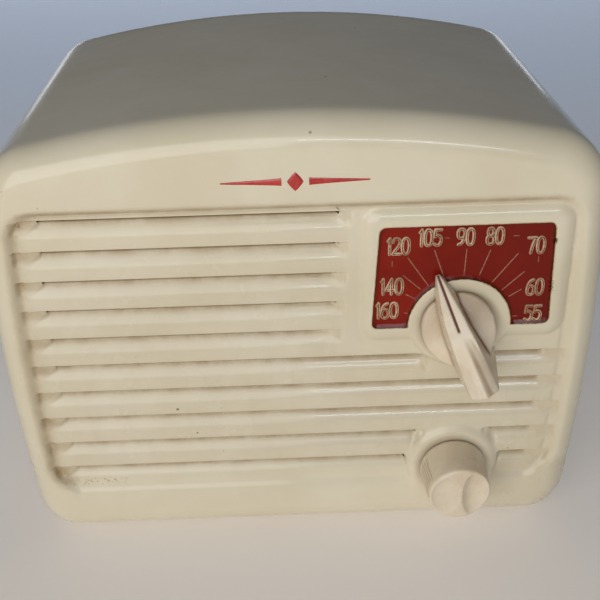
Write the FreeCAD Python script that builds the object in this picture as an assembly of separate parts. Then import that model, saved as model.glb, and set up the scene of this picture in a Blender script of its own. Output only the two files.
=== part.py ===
import FreeCAD, Part
import math
import os

# Midget table radio with a pressed-steel cabinet.  Millimetres, +Z up, the front looks along -Y.
# The model is drawn with y = 0 on the face of the louvre bars and z = 0 on the table, then moved
# along Y so that the origin ends up under the middle of the whole radio.

V = FreeCAD.Vector
X_AXIS = V(1, 0, 0)
Y_AXIS = V(0, 1, 0)
Z_AXIS = V(0, 0, 1)

# ---- driving dimensions -------------------------------------------------------------------
HALF_WIDTH = 86.5            # cabinet, at its widest height
WIDEST_Z = 68.0
SIDE_RADIUS = 560.0          # the sides bow outwards
TOP_Z = 137.5                # crown of the top
TOP_RADIUS = 330.0
BOTTOM_Z = 2.0               # underside of the cabinet, above the table
TOP_CORNER = 17.0
BOTTOM_CORNER = 13.0
FRONT_ROLL = 9.0             # radius that joins the front to the top, sides and bottom
RIM_Y = -1.5                 # the rim stands in front of the louvre bars
REAR_Y = 118.0               # rear edge of the cabinet
STEEL = 1.2

PANEL_HALF = 78.0            # recessed panel that carries the louvres
PANEL_BOTTOM = 21.5
PANEL_TOP = 112.5
PANEL_CORNER = 5.0

LOUVRES = 10
LOUVRE_PITCH = 9.17
LOWEST_SLIT_Z = 28.5
SLIT_HEIGHT = 4.2
LOUVRE_HALF = 75.0
LOUVRE_DEPTH = 5.0           # how far the vane behind a slit reaches back

DIAL_LEFT = 17.5             # raised frame of the dial
DIAL_RIGHT = 75.5
DIAL_BOTTOM = 70.5
DIAL_TOP = 111.5
DIAL_FRAME_Y = -1.1
DIAL_SINK = 0.6              # the painted field lies below the frame
FIELD_LEFT = 21.5
FIELD_RIGHT = 70.5
FIELD_BOTTOM = 75.3
FIELD_TOP = 106.5

TUNER_X = 44.6               # tuning shaft
TUNER_Z = 76.3
TUNER_BOSS = 15.25
REST_ANGLE = 21.5            # the pointer rests this far left of straight up, in degrees
VOLUME_X = 46.3              # volume shaft
VOLUME_Z = 24.7
VOLUME_BOSS = 13.5
BOSS_Y = -1.4
SHAFT_R = 3.175              # quarter-inch shafts
SHAFT_HOLE_R = 4.75

KNOB_GAP = 0.5               # between a knob and its boss
KNOB_R = 10.0
POINTER_REACH = 17.0         # tip of the pointer from the shaft axis
TAIL_REACH = 12.0            # end of the grip, on the other side of the axis
TIP_RISE = 3.5               # grip above the louvre bars, at the tip and at the tail
TAIL_RISE = 24.0
VOLUME_RISE = 15.3
VOLUME_FRONT_R = 9.2

CHASSIS_HALF = 70.0
CHASSIS_TOP = 41.2
CHASSIS_FRONT = 14.0         # the part in front, right of the loudspeaker
CHASSIS_STEP_X = 24.0
CHASSIS_STEP_Y = 48.0
CHASSIS_REAR = 104.0
CHASSIS_WALL = 1.2

SPEAKER_X = -31.0            # four-inch loudspeaker
SPEAKER_Z = 66.5
SPEAKER_R = 49.5
BAFFLE_Y = 6.4
BAFFLE_T = 2.5
CONE_R = 39.0
COIL_R = 9.6

COVER_Y = 113.0              # rear cover
COVER_T = 2.4

GLAND_X = -48.0              # where the supply cord would come out
GLAND_Z = 22.0
GLAND_BORE_R = 3.2

Y_SHIFT = (TAIL_RISE - REAR_Y) / 2.0


# ---- shape helpers ------------------------------------------------------------------------
def box(x0, x1, y0, y1, z0, z1):
    return Part.makeBox(x1 - x0, y1 - y0, z1 - z0, V(x0, y0, z0))


def rod_y(x, z, r, y0, y1):
    return Part.makeCylinder(r, y1 - y0, V(x, y0, z), Y_AXIS)


def rod_z(x, y, r, z0, z1):
    return Part.makeCylinder(r, z1 - z0, V(x, y, z0), Z_AXIS)


def rod_x(y, z, r, x0, x1):
    return Part.makeCylinder(r, x1 - x0, V(x0, y, z), X_AXIS)


def ring_y(x, z, r_out, r_in, y0, y1):
    return rod_y(x, z, r_out, y0, y1).cut(rod_y(x, z, r_in, y0 - 1, y1 + 1))


def join(shapes):
    first = shapes[0]
    if len(shapes) == 1:
        return first
    return first.multiFuse(shapes[1:]).removeSplitter()


def plate(points, y0, y1):
    """A flat plate from (x, z) points."""
    wire = Part.makePolygon([V(x, y0, z) for x, z in points + points[:1]])
    return Part.Face(wire).extrude(V(0, y1 - y0, 0))


def strip(points, x0, x1):
    """A bar along X from (y, z) points."""
    wire = Part.makePolygon([V(x0, y, z) for y, z in points + points[:1]])
    return Part.Face(wire).extrude(V(x1 - x0, 0, 0))


def turned(x, z, points):
    """A solid turned about the Y line through x, z, from (radius, y) points."""
    wire = Part.makePolygon([V(x + r, y, z) for r, y in points + points[:1]])
    return Part.Face(wire).revolve(V(x, 0, z), Y_AXIS, 360)


def turned_z(x, y, points):
    """A solid turned about the Z line through x, y, from (radius, z) points."""
    wire = Part.makePolygon([V(x + r, y, z) for r, z in points + points[:1]])
    return Part.Face(wire).revolve(V(x, y, 0), Z_AXIS, 360)


def wire_run(points, r):
    """A round wire along straight runs, with a ball at each bend."""
    shapes = []
    for a, b in zip(points[:-1], points[1:]):
        a = V(*a)
        b = V(*b)
        shapes.append(Part.makeCylinder(r, (b - a).Length, a, b - a))
    for p in points[1:-1]:
        shapes.append(Part.makeSphere(r, V(*p)))
    return join(shapes)


def round_uprights(shape, radius, keep):
    """Fillet the edges along Y whose middle passes keep(x, z)."""
    chosen = []
    for edge in shape.Edges:
        a = edge.Vertexes[0].Point
        b = edge.Vertexes[-1].Point
        along_y = abs(a.x - b.x) < 1e-4 and abs(a.z - b.z) < 1e-4 and abs(a.y - b.y) > 1e-3
        if along_y and keep(a.x, a.z):
            chosen.append(edge)
    return shape.makeFillet(radius, chosen)


# ---- cabinet ------------------------------------------------------------------------------
def side_x(z, half, radius):
    """Where a bowed side stands at height z."""
    return half - radius + math.sqrt(radius ** 2 - (z - WIDEST_Z) ** 2)


def section_corner(inset):
    """Where the bowed side meets the crowned top."""
    r_side = SIDE_RADIUS - inset
    r_top = TOP_RADIUS - inset
    z = TOP_Z
    for _ in range(60):
        x = side_x(z, HALF_WIDTH - inset, r_side)
        z = TOP_Z - TOP_RADIUS + math.sqrt(r_top ** 2 - x ** 2)
    return x, z


def block(inset, y0, y1, roll):
    """The cabinet's outer body made smaller by inset, with its front edge rounded by roll."""
    low = BOTTOM_Z + inset
    half = HALF_WIDTH - inset
    x_low = side_x(low, half, SIDE_RADIUS - inset)
    x_top, z_top = section_corner(inset)
    right = Part.Arc(V(x_low, y0, low), V(half, y0, WIDEST_Z), V(x_top, y0, z_top))
    top = Part.Arc(V(x_top, y0, z_top), V(0, y0, TOP_Z - inset), V(-x_top, y0, z_top))
    left = Part.Arc(V(-x_top, y0, z_top), V(-half, y0, WIDEST_Z), V(-x_low, y0, low))
    base = Part.LineSegment(V(-x_low, y0, low), V(x_low, y0, low))
    wire = Part.Wire([curve.toShape() for curve in (base, right, top, left)])
    body = Part.Face(wire).extrude(V(0, y1 - y0, 0))
    body = round_uprights(body, TOP_CORNER - inset, lambda x, z: z > WIDEST_Z)
    body = round_uprights(body, BOTTOM_CORNER - inset, lambda x, z: z < WIDEST_Z)
    if roll > 0:
        front = [e for e in body.Edges if all(abs(v.Point.y - y0) < 1e-4 for v in e.Vertexes)]
        body = body.makeFillet(roll, front)
    return body


def slit_z(k):
    """Height of the lower edge of the bar above louvre k, counted from the bottom."""
    return LOWEST_SLIT_Z + k * LOUVRE_PITCH


def louvre_half(z):
    """The ends of the louvres follow the bowed sides."""
    return LOUVRE_HALF - (z - WIDEST_Z) ** 2 / (2 * SIDE_RADIUS)


def louvre_spans(z):
    """The stretches of one louvre, broken by the dial and the two knob bosses."""
    half = louvre_half(z)
    right = DIAL_LEFT - 3.0 if z > DIAL_BOTTOM else half
    spans = [(-half, right)]
    bosses = ((TUNER_X, TUNER_Z, TUNER_BOSS + 2.5), (VOLUME_X, VOLUME_Z, VOLUME_BOSS + 1.0))
    for x, z_boss, r in bosses:
        reach = r ** 2 - (z - SLIT_HEIGHT / 2 - z_boss) ** 2
        if reach <= 0 or right < x:
            continue
        half_gap = math.sqrt(reach)
        x0, x1 = spans.pop()
        spans.append((x0, x - half_gap))
        spans.append((x + half_gap, x1))
    return spans


def louvre_vane(z, x0, x1):
    """The sloped sheet behind a slit, with its two closed ends."""
    low = z - SLIT_HEIGHT
    high = z + 1.5
    deep = LOUVRE_DEPTH
    vane = strip([(0, low - 0.4), (STEEL, low - 0.4), (deep, high - 1.2), (deep, high),
                  (deep - 0.8, high), (0, low + 0.6)], x0, x1)
    cheek = [(0.4, low), (deep, high), (deep - 0.8, high), (STEEL - 0.4, z + 1.0), (0.4, z + 0.5)]
    return [vane, strip(cheek, x0 - 1.0, x0 + 0.2), strip(cheek, x1 - 0.2, x1 + 1.0)]


def panel_outline(half, low, high, corner, y0, y1):
    x_mid = half
    x_low = side_x(low, half, SIDE_RADIUS)
    x_high = side_x(high, half, SIDE_RADIUS)
    sides = [Part.Arc(V(x_low, y0, low), V(x_mid, y0, WIDEST_Z), V(x_high, y0, high)),
             Part.LineSegment(V(x_high, y0, high), V(-x_high, y0, high)),
             Part.Arc(V(-x_high, y0, high), V(-x_mid, y0, WIDEST_Z), V(-x_low, y0, low)),
             Part.LineSegment(V(-x_low, y0, low), V(x_low, y0, low))]
    shape = Part.Face(Part.Wire([s.toShape() for s in sides])).extrude(V(0, y1 - y0, 0))
    return round_uprights(shape, corner, lambda x, z: True)


def dial_outline(inset, y0, y1):
    points = [(DIAL_LEFT + inset, DIAL_BOTTOM + inset), (DIAL_RIGHT - inset, DIAL_BOTTOM + inset),
              (DIAL_RIGHT - 0.5 - inset, DIAL_TOP - inset), (DIAL_LEFT + 1.5 + inset, DIAL_TOP - inset)]
    return round_uprights(plate(points, y0, y1), 4.0, lambda x, z: True)


def dial_field(y0, y1):
    points = [(FIELD_LEFT - 1.0, FIELD_BOTTOM), (FIELD_RIGHT + 0.3, FIELD_BOTTOM),
              (FIELD_RIGHT - 0.7, FIELD_TOP), (FIELD_LEFT + 0.8, FIELD_TOP)]
    field = round_uprights(plate(points, y0, y1), 2.0, lambda x, z: True)
    return field.cut(rod_y(TUNER_X + 0.8, TUNER_Z - 0.8, TUNER_BOSS, y0 - 1, y1 + 1))


def cabinet():
    outer = block(0, RIM_Y, REAR_Y, FRONT_ROLL)
    inner = block(STEEL, RIM_Y + STEEL, REAR_Y + 1, FRONT_ROLL - STEEL)
    shell = outer.cut(inner)
    backing = panel_outline(PANEL_HALF + 1.5, PANEL_BOTTOM - 1.5, PANEL_TOP + 1.5, PANEL_CORNER,
                            RIM_Y + 0.6, STEEL)
    shell = join([shell, backing])
    shell = shell.cut(panel_outline(PANEL_HALF, PANEL_BOTTOM, PANEL_TOP, PANEL_CORNER, RIM_Y - 1, 0))
    slits = []
    vanes = []
    for k in range(LOUVRES):
        z = slit_z(k)
        for x0, x1 in louvre_spans(z):
            slits.append(box(x0, x1, -1, STEEL + 1, z - SLIT_HEIGHT, z))
            vanes.extend(louvre_vane(z, x0, x1))
    shell = join([shell.cut(Part.makeCompound(slits))] + vanes)
    raised = [dial_outline(0, DIAL_FRAME_Y, 0.6),
              rod_y(TUNER_X + 0.8, TUNER_Z - 0.8, TUNER_BOSS, BOSS_Y, 0.6),
              rod_y(VOLUME_X, VOLUME_Z, VOLUME_BOSS, BOSS_Y, 0.6)]
    shell = join([shell] + raised)
    shell = shell.cut(dial_field(DIAL_FRAME_Y - 1, DIAL_FRAME_Y + DIAL_SINK))
    for x, z in ((TUNER_X, TUNER_Z), (VOLUME_X, VOLUME_Z)):
        shell = shell.cut(rod_y(x, z, SHAFT_HOLE_R, BOSS_Y - 1, 9))
    shell = join([shell] + cover_lugs())
    for x, y in foot_places():
        shell = shell.cut(rod_z(x, y, 2.1, BOTTOM_Z - 1, BOTTOM_Z + STEEL + 1))
    for x, y in chassis_screw_places():
        shell = shell.cut(rod_z(x, y, 2.1, BOTTOM_Z - 1, BOTTOM_Z + STEEL + 1))
    for x, z in cover_screw_places():
        shell = shell.cut(rod_y(x, z, 1.3, COVER_Y - 5, COVER_Y + 1))
    return shell


def cover_screw_places():
    return [(-78.0, 36.0), (78.0, 36.0), (-76.0, 108.0), (76.0, 108.0)]


def cover_lugs():
    """Bent lugs inside the sides, which the rear cover is screwed to."""
    lugs = []
    for x, z in cover_screw_places():
        wall = side_x(z, HALF_WIDTH - STEEL / 2, SIDE_RADIUS)
        side = 1 if x > 0 else -1
        x0, x1 = sorted((x - side * 4.5, side * wall))
        lugs.append(box(x0, x1, COVER_Y - 1.5, COVER_Y, z - 5, z + 5))
    return lugs


# ---- feet and chassis ---------------------------------------------------------------------
def foot_places():
    return [(x, y) for x in (-64.0, 64.0) for y in (16.0, 104.0)]


def rubber_feet():
    feet = []
    for x, y in foot_places():
        profile = [(2.2, 0.9), (2.8, 0.9), (3.4, 0), (6.0, 0), (6.6, 0.5),
                   (6.2, BOTTOM_Z), (2.2, BOTTOM_Z)]
        feet.append(turned_z(x, y, profile))
    return feet


def foot_rivets():
    rivets = []
    for x, y in foot_places():
        shank = rod_z(x, y, 2.0, 1.0, BOTTOM_Z + STEEL + 0.6)
        head = rod_z(x, y, 3.4, BOTTOM_Z + STEEL, BOTTOM_Z + STEEL + 1.0)
        rivets.append(join([shank, head]))
    return rivets


def chassis_screw_places():
    return [(x, y) for x in (-64.0, 64.0) for y in (60.0, 92.0)]


def chassis_screws():
    screws = []
    for x, y in chassis_screw_places():
        head = rod_z(x, y, 3.4, BOTTOM_Z - 1.4, BOTTOM_Z)
        slot = box(x - 4, x + 4, y - 0.4, y + 0.4, BOTTOM_Z - 1.6, BOTTOM_Z - 0.8)
        shank = rod_z(x, y, 1.9, BOTTOM_Z, BOTTOM_Z + STEEL + 5)
        nut = Part.makeBox(6.4, 6.4, 2.2, V(x - 3.2, y - 3.2, BOTTOM_Z + STEEL + CHASSIS_WALL))
        screws.append(join([head.cut(slot), shank, nut]))
    return screws


def tube_places():
    return {"converter": (2.0, 64.0), "detector": (-28.0, 64.0),
            "output": (-56.0, 64.0), "rectifier": (-56.0, 91.0)}


def can_places():
    return {"input": (0.0, 92.0), "output": (-30.0, 92.0)}


def chassis():
    w = CHASSIS_WALL
    low = BOTTOM_Z + STEEL
    half = CHASSIS_HALF
    top = CHASSIS_TOP
    parts = [box(-half, half, CHASSIS_STEP_Y, CHASSIS_REAR, top - w, top),
             box(CHASSIS_STEP_X, half, CHASSIS_FRONT, CHASSIS_STEP_Y + w, top - w, top),
             box(CHASSIS_STEP_X, half, CHASSIS_FRONT, CHASSIS_FRONT + w, low + 4, top),
             box(CHASSIS_STEP_X, CHASSIS_STEP_X + w, CHASSIS_FRONT, CHASSIS_STEP_Y, low + 4, top),
             box(-half, CHASSIS_STEP_X + w, CHASSIS_STEP_Y, CHASSIS_STEP_Y + w, low + 4, top),
             box(-half, half, CHASSIS_REAR - w, CHASSIS_REAR, low + 4, top)]
    for side in (-1, 1):
        x0, x1 = sorted((side * half, side * (half - w)))
        y0 = CHASSIS_STEP_Y if side < 0 else CHASSIS_FRONT
        parts.append(box(x0, x1, y0, CHASSIS_REAR, low, top))
        x0, x1 = sorted((side * half, side * (half - 11.0)))
        parts.append(box(x0, x1, 54.0, 98.0, low, low + w))
    body = join(parts)
    holes = [rod_y(VOLUME_X, VOLUME_Z, 4.9, CHASSIS_FRONT - 1, CHASSIS_FRONT + w + 1)]
    for x, y in tube_places().values():
        holes.append(rod_z(x, y, 8.2, top - w - 1, top + 1))
    for x, y in can_places().values():
        holes.append(box(x - 6, x + 6, y - 6, y + 6, top - w - 1, top + 1))
    for x, y in chassis_screw_places():
        holes.append(rod_z(x, y, 2.1, low - 1, low + w + 1))
    holes.append(rod_z(*coil_can_place(), 8.15, top - w - 1, top + 1))
    for x, y in capacitor_feet_places():
        holes.append(rod_z(x, y, 1.8, top - w - 1, top + 1))
    return body.cut(Part.makeCompound(holes))


# ---- tubes and tube sockets ---------------------------------------------------------------
def tube_height(name):
    return 57.0 if name in ("output", "rectifier") else 46.0


def tube(name):
    """A seven-pin miniature tube: bulb, plate structure and pins."""
    x, y = tube_places()[name]
    foot = CHASSIS_TOP + 2.4
    h = tube_height(name)
    top = foot + h
    bulb = turned_z(x, y, [(0, foot), (9.0, foot), (9.5, foot + 2), (9.5, top - 12), (7.6, top - 5.5),
                           (3.6, top - 3.2), (1.9, top - 1), (0.6, top), (0, top)])
    core = turned_z(x, y, [(0, foot + 5), (5.6, foot + 5), (5.6, foot + h - 16), (0, foot + h - 16)])
    pins = []
    for i in range(7):
        a = math.radians(45 * i)
        pins.append(rod_z(x + 4.75 * math.cos(a), y + 4.75 * math.sin(a), 0.5, foot - 6.5, foot))
    return [bulb.cut(core), core] + pins


def tube_socket(name):
    x, y = tube_places()[name]
    top = CHASSIS_TOP
    body = join([rod_z(x, y, 8.0, top - 6.0, top + 2.3), rod_z(x, y, 10.6, top, top + 1.6),
                 box(x - 13, x + 13, y - 3.2, y + 3.2, top, top + 0.9)])
    for i in range(7):
        a = math.radians(45 * i)
        body = body.cut(rod_z(x + 4.75 * math.cos(a), y + 4.75 * math.sin(a), 0.56, top - 8, top + 4))
    return [body.cut(rod_z(x, y, 1.6, top - 8, top + 4))]


# ---- intermediate-frequency transformers and oscillator coil ------------------------------
def if_transformer(name):
    x, y = can_places()[name]
    top = CHASSIS_TOP
    can = box(x - 9.5, x + 9.5, y - 9.5, y + 9.5, top, top + 50)
    upright = [e for e in can.Edges if abs(e.Vertexes[0].Z - e.Vertexes[1].Z) > 1]
    can = can.makeFillet(2.0, upright)
    can = can.cut(box(x - 8.9, x + 8.9, y - 8.9, y + 8.9, top - 1, top + 49.3))
    can = can.cut(rod_z(x, y, 2.6, top + 48, top + 51))
    former = rod_z(x, y, 3.4, top - 5, top + 46).cut(rod_z(x, y, 2.2, top - 6, top + 47))
    inside = rod_z(x, y, 3.4, top, top + 60)
    windings = [rod_z(x, y, 6.6, top + h, top + h + 6).cut(inside) for h in (12, 30)]
    slug = rod_z(x, y, 2.1, top + 33, top + 45).cut(box(x - 3, x + 3, y - 0.4, y + 0.4, top + 44, top + 46))
    return [can, former, slug] + windings


def coil_can_place():
    return 24.0, 92.0


def oscillator_coil():
    x, y = coil_can_place()
    top = CHASSIS_TOP
    former = rod_z(x, y, 8.0, top - 24, top + 8).cut(rod_z(x, y, 7.2, top - 25, top + 9))
    collar = rod_z(x, y, 10.0, top, top + 1.2).cut(rod_z(x, y, 8.0, top - 1, top + 2))
    winding = rod_z(x, y, 9.2, top - 18, top - 6).cut(rod_z(x, y, 8.0, top - 19, top - 5))
    return [former, collar, winding]


# ---- tuning capacitor ---------------------------------------------------------------------
GANG_FRONT = 20.0
GANG_BACK = 58.0
GANG_WALL = 1.6
ROTOR_R = 15.0
PLATE_T = 0.6
PLATE_PITCH = 2.4
STATOR_X = TUNER_X - 5.0
GANG_HALF = 18.5
GANG_BASE = 57.0


def gang_spans():
    """Depths of the two sections of the capacitor."""
    return [(GANG_FRONT + 3.5, 6), (GANG_FRONT + 21.0, 5)]


def capacitor_frame():
    x0 = TUNER_X - GANG_HALF
    x1 = TUNER_X + GANG_HALF
    parts = [box(x0, x1, GANG_FRONT, GANG_BACK, GANG_BASE, GANG_BASE + GANG_WALL)]
    for y in (GANG_FRONT, GANG_BACK - GANG_WALL):
        parts.append(box(x0, x1, y, y + GANG_WALL, GANG_BASE, TUNER_Z + 17))
    parts.append(ring_y(TUNER_X, TUNER_Z, 6.5, 4.55, GANG_FRONT - 2.4, GANG_FRONT + 0.1))
    for side in (-1, 1):
        xa, xb = sorted((TUNER_X + side * (GANG_HALF - 1.6), TUNER_X + side * GANG_HALF))
        parts.append(box(xa, xb, GANG_FRONT, GANG_BACK, TUNER_Z + 15.4, TUNER_Z + 17))
    parts.append(box(x1 - 1.2, x1, GANG_FRONT, GANG_BACK, TUNER_Z - 5, TUNER_Z + 13))
    frame = join(parts)
    frame = frame.cut(rod_y(TUNER_X, TUNER_Z, 4.55, GANG_FRONT - 4, GANG_FRONT + 4))
    frame = frame.cut(rod_y(TUNER_X, TUNER_Z, 2.54, GANG_BACK - 4, GANG_BACK + 4))
    for x, y in capacitor_feet_places():
        frame = frame.cut(rod_z(x, y, 1.8, GANG_BASE - 1, GANG_BASE + 3))
    return [frame]


def capacitor_feet():
    """Spacers, each on a rubber grommet, that lift the frame off the chassis."""
    feet = []
    for x, y in capacitor_feet_places():
        profile = [(2.0, CHASSIS_TOP), (5.0, CHASSIS_TOP), (5.0, GANG_BASE), (2.0, GANG_BASE)]
        feet.append(turned_z(x, y, profile))
    return feet


def capacitor_feet_places():
    return [(TUNER_X - 12, GANG_FRONT + 6), (TUNER_X + 12, GANG_FRONT + 6), (TUNER_X, GANG_BACK - 7)]


def capacitor_screws():
    screws = []
    for x, y in capacitor_feet_places():
        head = rod_z(x, y, 3.0, GANG_BASE + GANG_WALL, GANG_BASE + GANG_WALL + 1.0)
        screws.append(join([head, rod_z(x, y, 1.6, CHASSIS_TOP - 4, GANG_BASE + GANG_WALL)]))
    return screws


def capacitor_stators():
    """Two packs of fixed plates, left of the shaft, on insulated bars."""
    packs = []
    for start, count in gang_spans():
        plates = []
        for i in range(count):
            y = start + i * PLATE_PITCH + PLATE_PITCH / 2
            leaf = box(TUNER_X - 17, STATOR_X, y, y + PLATE_T, TUNER_Z - 14.5, TUNER_Z + 14.5)
            plates.append(leaf)
        y0 = start + PLATE_PITCH / 2
        y1 = start + (count - 1) * PLATE_PITCH + PLATE_PITCH / 2 + PLATE_T
        for z in (TUNER_Z - 14.4, TUNER_Z + 13.4):
            plates.append(box(TUNER_X - 16.4, TUNER_X - 15.6, y0, y1, z, z + 1.0))
        packs.append(join(plates))
    return packs


def capacitor_insulators():
    bars = []
    for z in (TUNER_Z - 15.3, TUNER_Z + 14.5):
        bars.append(box(TUNER_X - 17.0, TUNER_X - 13.0, GANG_FRONT + GANG_WALL, GANG_BACK - GANG_WALL,
                        z, z + 0.8))
    return bars


def rotor_leaf(y):
    """A half-round plate whose middle points along the stators, turned to where it rests."""
    disc = rod_y(TUNER_X, TUNER_Z, ROTOR_R - 1.8, y, y + PLATE_T)
    half = box(TUNER_X - 40, TUNER_X, y - 1, y + 2, TUNER_Z - 40, TUNER_Z + 40)
    leaf = disc.common(half)
    # fully meshed is the low end of the dial, a quarter turn right of straight up
    leaf.rotate(V(TUNER_X, 0, TUNER_Z), Y_AXIS, -(90 + REST_ANGLE))
    return leaf


def capacitor_rotor():
    """The tuning shaft with its two packs of moving plates."""
    parts = [rod_y(TUNER_X, TUNER_Z, SHAFT_R, -TAIL_RISE + 12, GANG_FRONT - 3),
             rod_y(TUNER_X, TUNER_Z, 4.5, GANG_FRONT - 3, GANG_FRONT + 2.5),
             rod_y(TUNER_X, TUNER_Z, SHAFT_R, GANG_FRONT + 2.4, GANG_BACK - 4),
             rod_y(TUNER_X, TUNER_Z, 2.5, GANG_BACK - 4.1, GANG_BACK + 2)]
    for start, count in gang_spans():
        for i in range(count + 1):
            parts.append(rotor_leaf(start + i * PLATE_PITCH))
    return [join(parts).cut(shaft_flat(TUNER_X, TUNER_Z))]


def capacitor_trimmers():
    """Two mica trimmers on the side of the frame: a plate, a mica leaf and a screw each."""
    trimmers = []
    x = TUNER_X + GANG_HALF
    for start, count in gang_spans():
        y = start + count * PLATE_PITCH / 2
        base = box(x, x + 1.2, y - 6, y + 6, TUNER_Z - 4, TUNER_Z + 12)
        leaf = box(x + 1.2, x + 1.8, y - 5, y + 5, TUNER_Z - 3, TUNER_Z + 9)
        screw = rod_x(y, TUNER_Z + 3, 2.0, x + 1.8, x + 3.6)
        slot = box(x + 3.0, x + 4, y - 2.5, y + 2.5, TUNER_Z + 2.7, TUNER_Z + 3.3)
        trimmers.extend([base, leaf, screw.cut(slot)])
    return trimmers


# ---- knobs --------------------------------------------------------------------------------
def pointer_half_width(along):
    """Half of the grip's width, from the tip (negative) to the tail."""
    stops = [(-POINTER_REACH, 0.8), (-10.0, 2.4), (-4.0, 3.6), (TAIL_REACH, 3.8)]
    for (a, wa), (b, wb) in zip(stops[:-1], stops[1:]):
        if along <= b:
            return wa + (wb - wa) * (along - a) / (b - a)
    return stops[-1][1]


def grip_rise(along):
    """How far the grip stands in front of the louvre bars."""
    share = (along + POINTER_REACH) / (POINTER_REACH + TAIL_REACH)
    return TIP_RISE + (TAIL_RISE - TIP_RISE) * share


def tuning_knob():
    """Round base cut on a slope, with a wedge-shaped pointer grip across it."""
    x, z = TUNER_X, TUNER_Z
    back = BOSS_Y - KNOB_GAP
    base = rod_y(x, z, KNOB_R, back - 12, back)
    # the base's front face slopes: thin under the pointer, thick under the tail
    slope = strip([(back - 1.2, z + KNOB_R + 1), (-9.5, z - KNOB_R - 1), (-30, z - KNOB_R - 1),
                   (-30, z + KNOB_R + 1)], x - 12, x + 12)
    base = base.cut(slope)
    stops = [-POINTER_REACH, -10.0, -4.0, TAIL_REACH]
    rim = [(x - pointer_half_width(s), z - s) for s in stops]
    rim += [(x + pointer_half_width(s), z - s) for s in reversed(stops)]
    grip = plate(rim, -TAIL_RISE, back)
    tip_y = -grip_rise(-POINTER_REACH)
    over = strip([(tip_y, z + POINTER_REACH), (tip_y, z + POINTER_REACH + 5),
                  (-TAIL_RISE - 5, z + POINTER_REACH + 5), (-TAIL_RISE - 5, z - TAIL_REACH),
                  (-grip_rise(TAIL_REACH), z - TAIL_REACH)], x - 12, x + 12)
    grip = grip.cut(over)
    for side in (-1, 1):
        flute = Part.makeCone(0.05, 1.7, 20, V(x + side * 1.9, -grip_rise(-2) - 0.4, z + 2),
                              V(0, -grip_rise(14) + grip_rise(-2), -16))
        grip = grip.cut(flute)
    knob = join([base, grip])
    knob = knob.cut(rod_y(x, z, SHAFT_R + 0.05, -TAIL_RISE + 11.5, back + 1))
    knob.rotate(V(x, 0, z), Y_AXIS, -REST_ANGLE)
    return knob


def volume_knob():
    """Round knob, slightly tapered, with two hollows in its face that leave a rib between them."""
    x, z = VOLUME_X, VOLUME_Z
    back = BOSS_Y - KNOB_GAP
    knob = turned(x, z, [(0, back), (KNOB_R - 0.1, back),
                         (VOLUME_FRONT_R, -VOLUME_RISE), (0, -VOLUME_RISE)])
    front = [e for e in knob.Edges if all(abs(v.Point.y + VOLUME_RISE) < 1e-4 for v in e.Vertexes)]
    knob = knob.makeFillet(0.8, front)
    for side in (-1, 1):
        ball = Part.makeSphere(16.0, V(x + side * 9.5, -VOLUME_RISE - 12.6, z))
        knob = knob.cut(ball)
    return knob.cut(rod_y(x, z, SHAFT_R + 0.05, -VOLUME_RISE + 4.5, back + 1))


def shaft_flat(x, z):
    """What is milled off the end of a shaft, so that the knob's spring has a flat to grip."""
    return box(x - 4, x + 4, -TAIL_RISE, 0, z + 2.3, z + 6)


def knob_spring(x, z, y0):
    """Flat spring on the shaft's flat inside the knob's bore."""
    return box(x - 1.3, x + 1.3, y0, y0 + 7.0, z + 2.3, z + 2.85)


# ---- volume control and switch ------------------------------------------------------------
POT_FRONT = CHASSIS_FRONT + CHASSIS_WALL
POT_R = 11.5
POT_BACK = POT_FRONT + 11.0


def volume_control_body():
    x, z = VOLUME_X, VOLUME_Z
    can = rod_y(x, z, POT_R, POT_FRONT, POT_BACK)
    can = can.cut(rod_y(x, z, POT_R - 0.8, POT_FRONT + 2.0, POT_BACK - 0.8))
    bush = rod_y(x, z, 4.75, 6.5, POT_FRONT + 1.0)
    body = join([can, bush]).cut(rod_y(x, z, SHAFT_R + 0.05, 0, POT_FRONT + 3))
    body = body.cut(rod_y(x, z, 2.05, POT_FRONT, POT_BACK + 1))
    tags = []
    for d in (-5, 0, 5):
        tag = box(x + d - 1, x + d + 1, POT_FRONT + 2, POT_FRONT + 2.8, z - POT_R - 5.5, z - POT_R + 0.5)
        tags.append(tag.cut(rod_y(x, z, POT_R, 0, 60)))
    return [body] + tags


def volume_shaft():
    x, z = VOLUME_X, VOLUME_Z
    shaft = join([rod_y(x, z, SHAFT_R, -VOLUME_RISE + 5, POT_FRONT + 2.4),
                  rod_y(x, z, 2.0, POT_FRONT + 2.3, POT_BACK + 4),
                  box(x - 1.5, x + 1.5, POT_FRONT + 4.5, POT_FRONT + 5.3, z, z + POT_R - 1.6)])
    return [shaft.cut(shaft_flat(x, z))]


def volume_nut():
    x, z = VOLUME_X, VOLUME_Z
    angles = [math.radians(60 * i) for i in range(6)]
    corners = [(x + 7.0 * math.cos(a), z + 7.0 * math.sin(a)) for a in angles]
    nut = plate(corners, CHASSIS_FRONT - 3.3, CHASSIS_FRONT - 0.9)
    return [nut.cut(rod_y(x, z, 4.75, 0, 20))]


def power_switch():
    """On-off switch on the back of the volume control, worked by the end of its shaft."""
    x, z = VOLUME_X, VOLUME_Z
    body = rod_y(x, z, POT_R - 1.0, POT_BACK, POT_BACK + 7.5)
    body = body.cut(rod_y(x, z, 3.2, POT_BACK - 1, POT_BACK + 6))
    tags = [box(x + d - 1.2, x + d + 1.2, POT_BACK + 7.5, POT_BACK + 12, z + 4, z + 4.8) for d in (-5, 5)]
    return [body] + tags


# ---- loudspeaker --------------------------------------------------------------------------
GASKET_T = 2.0
FLANGE_Y = BAFFLE_Y + BAFFLE_T + GASKET_T
MAGNET_Y = FLANGE_Y + 20.0


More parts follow.
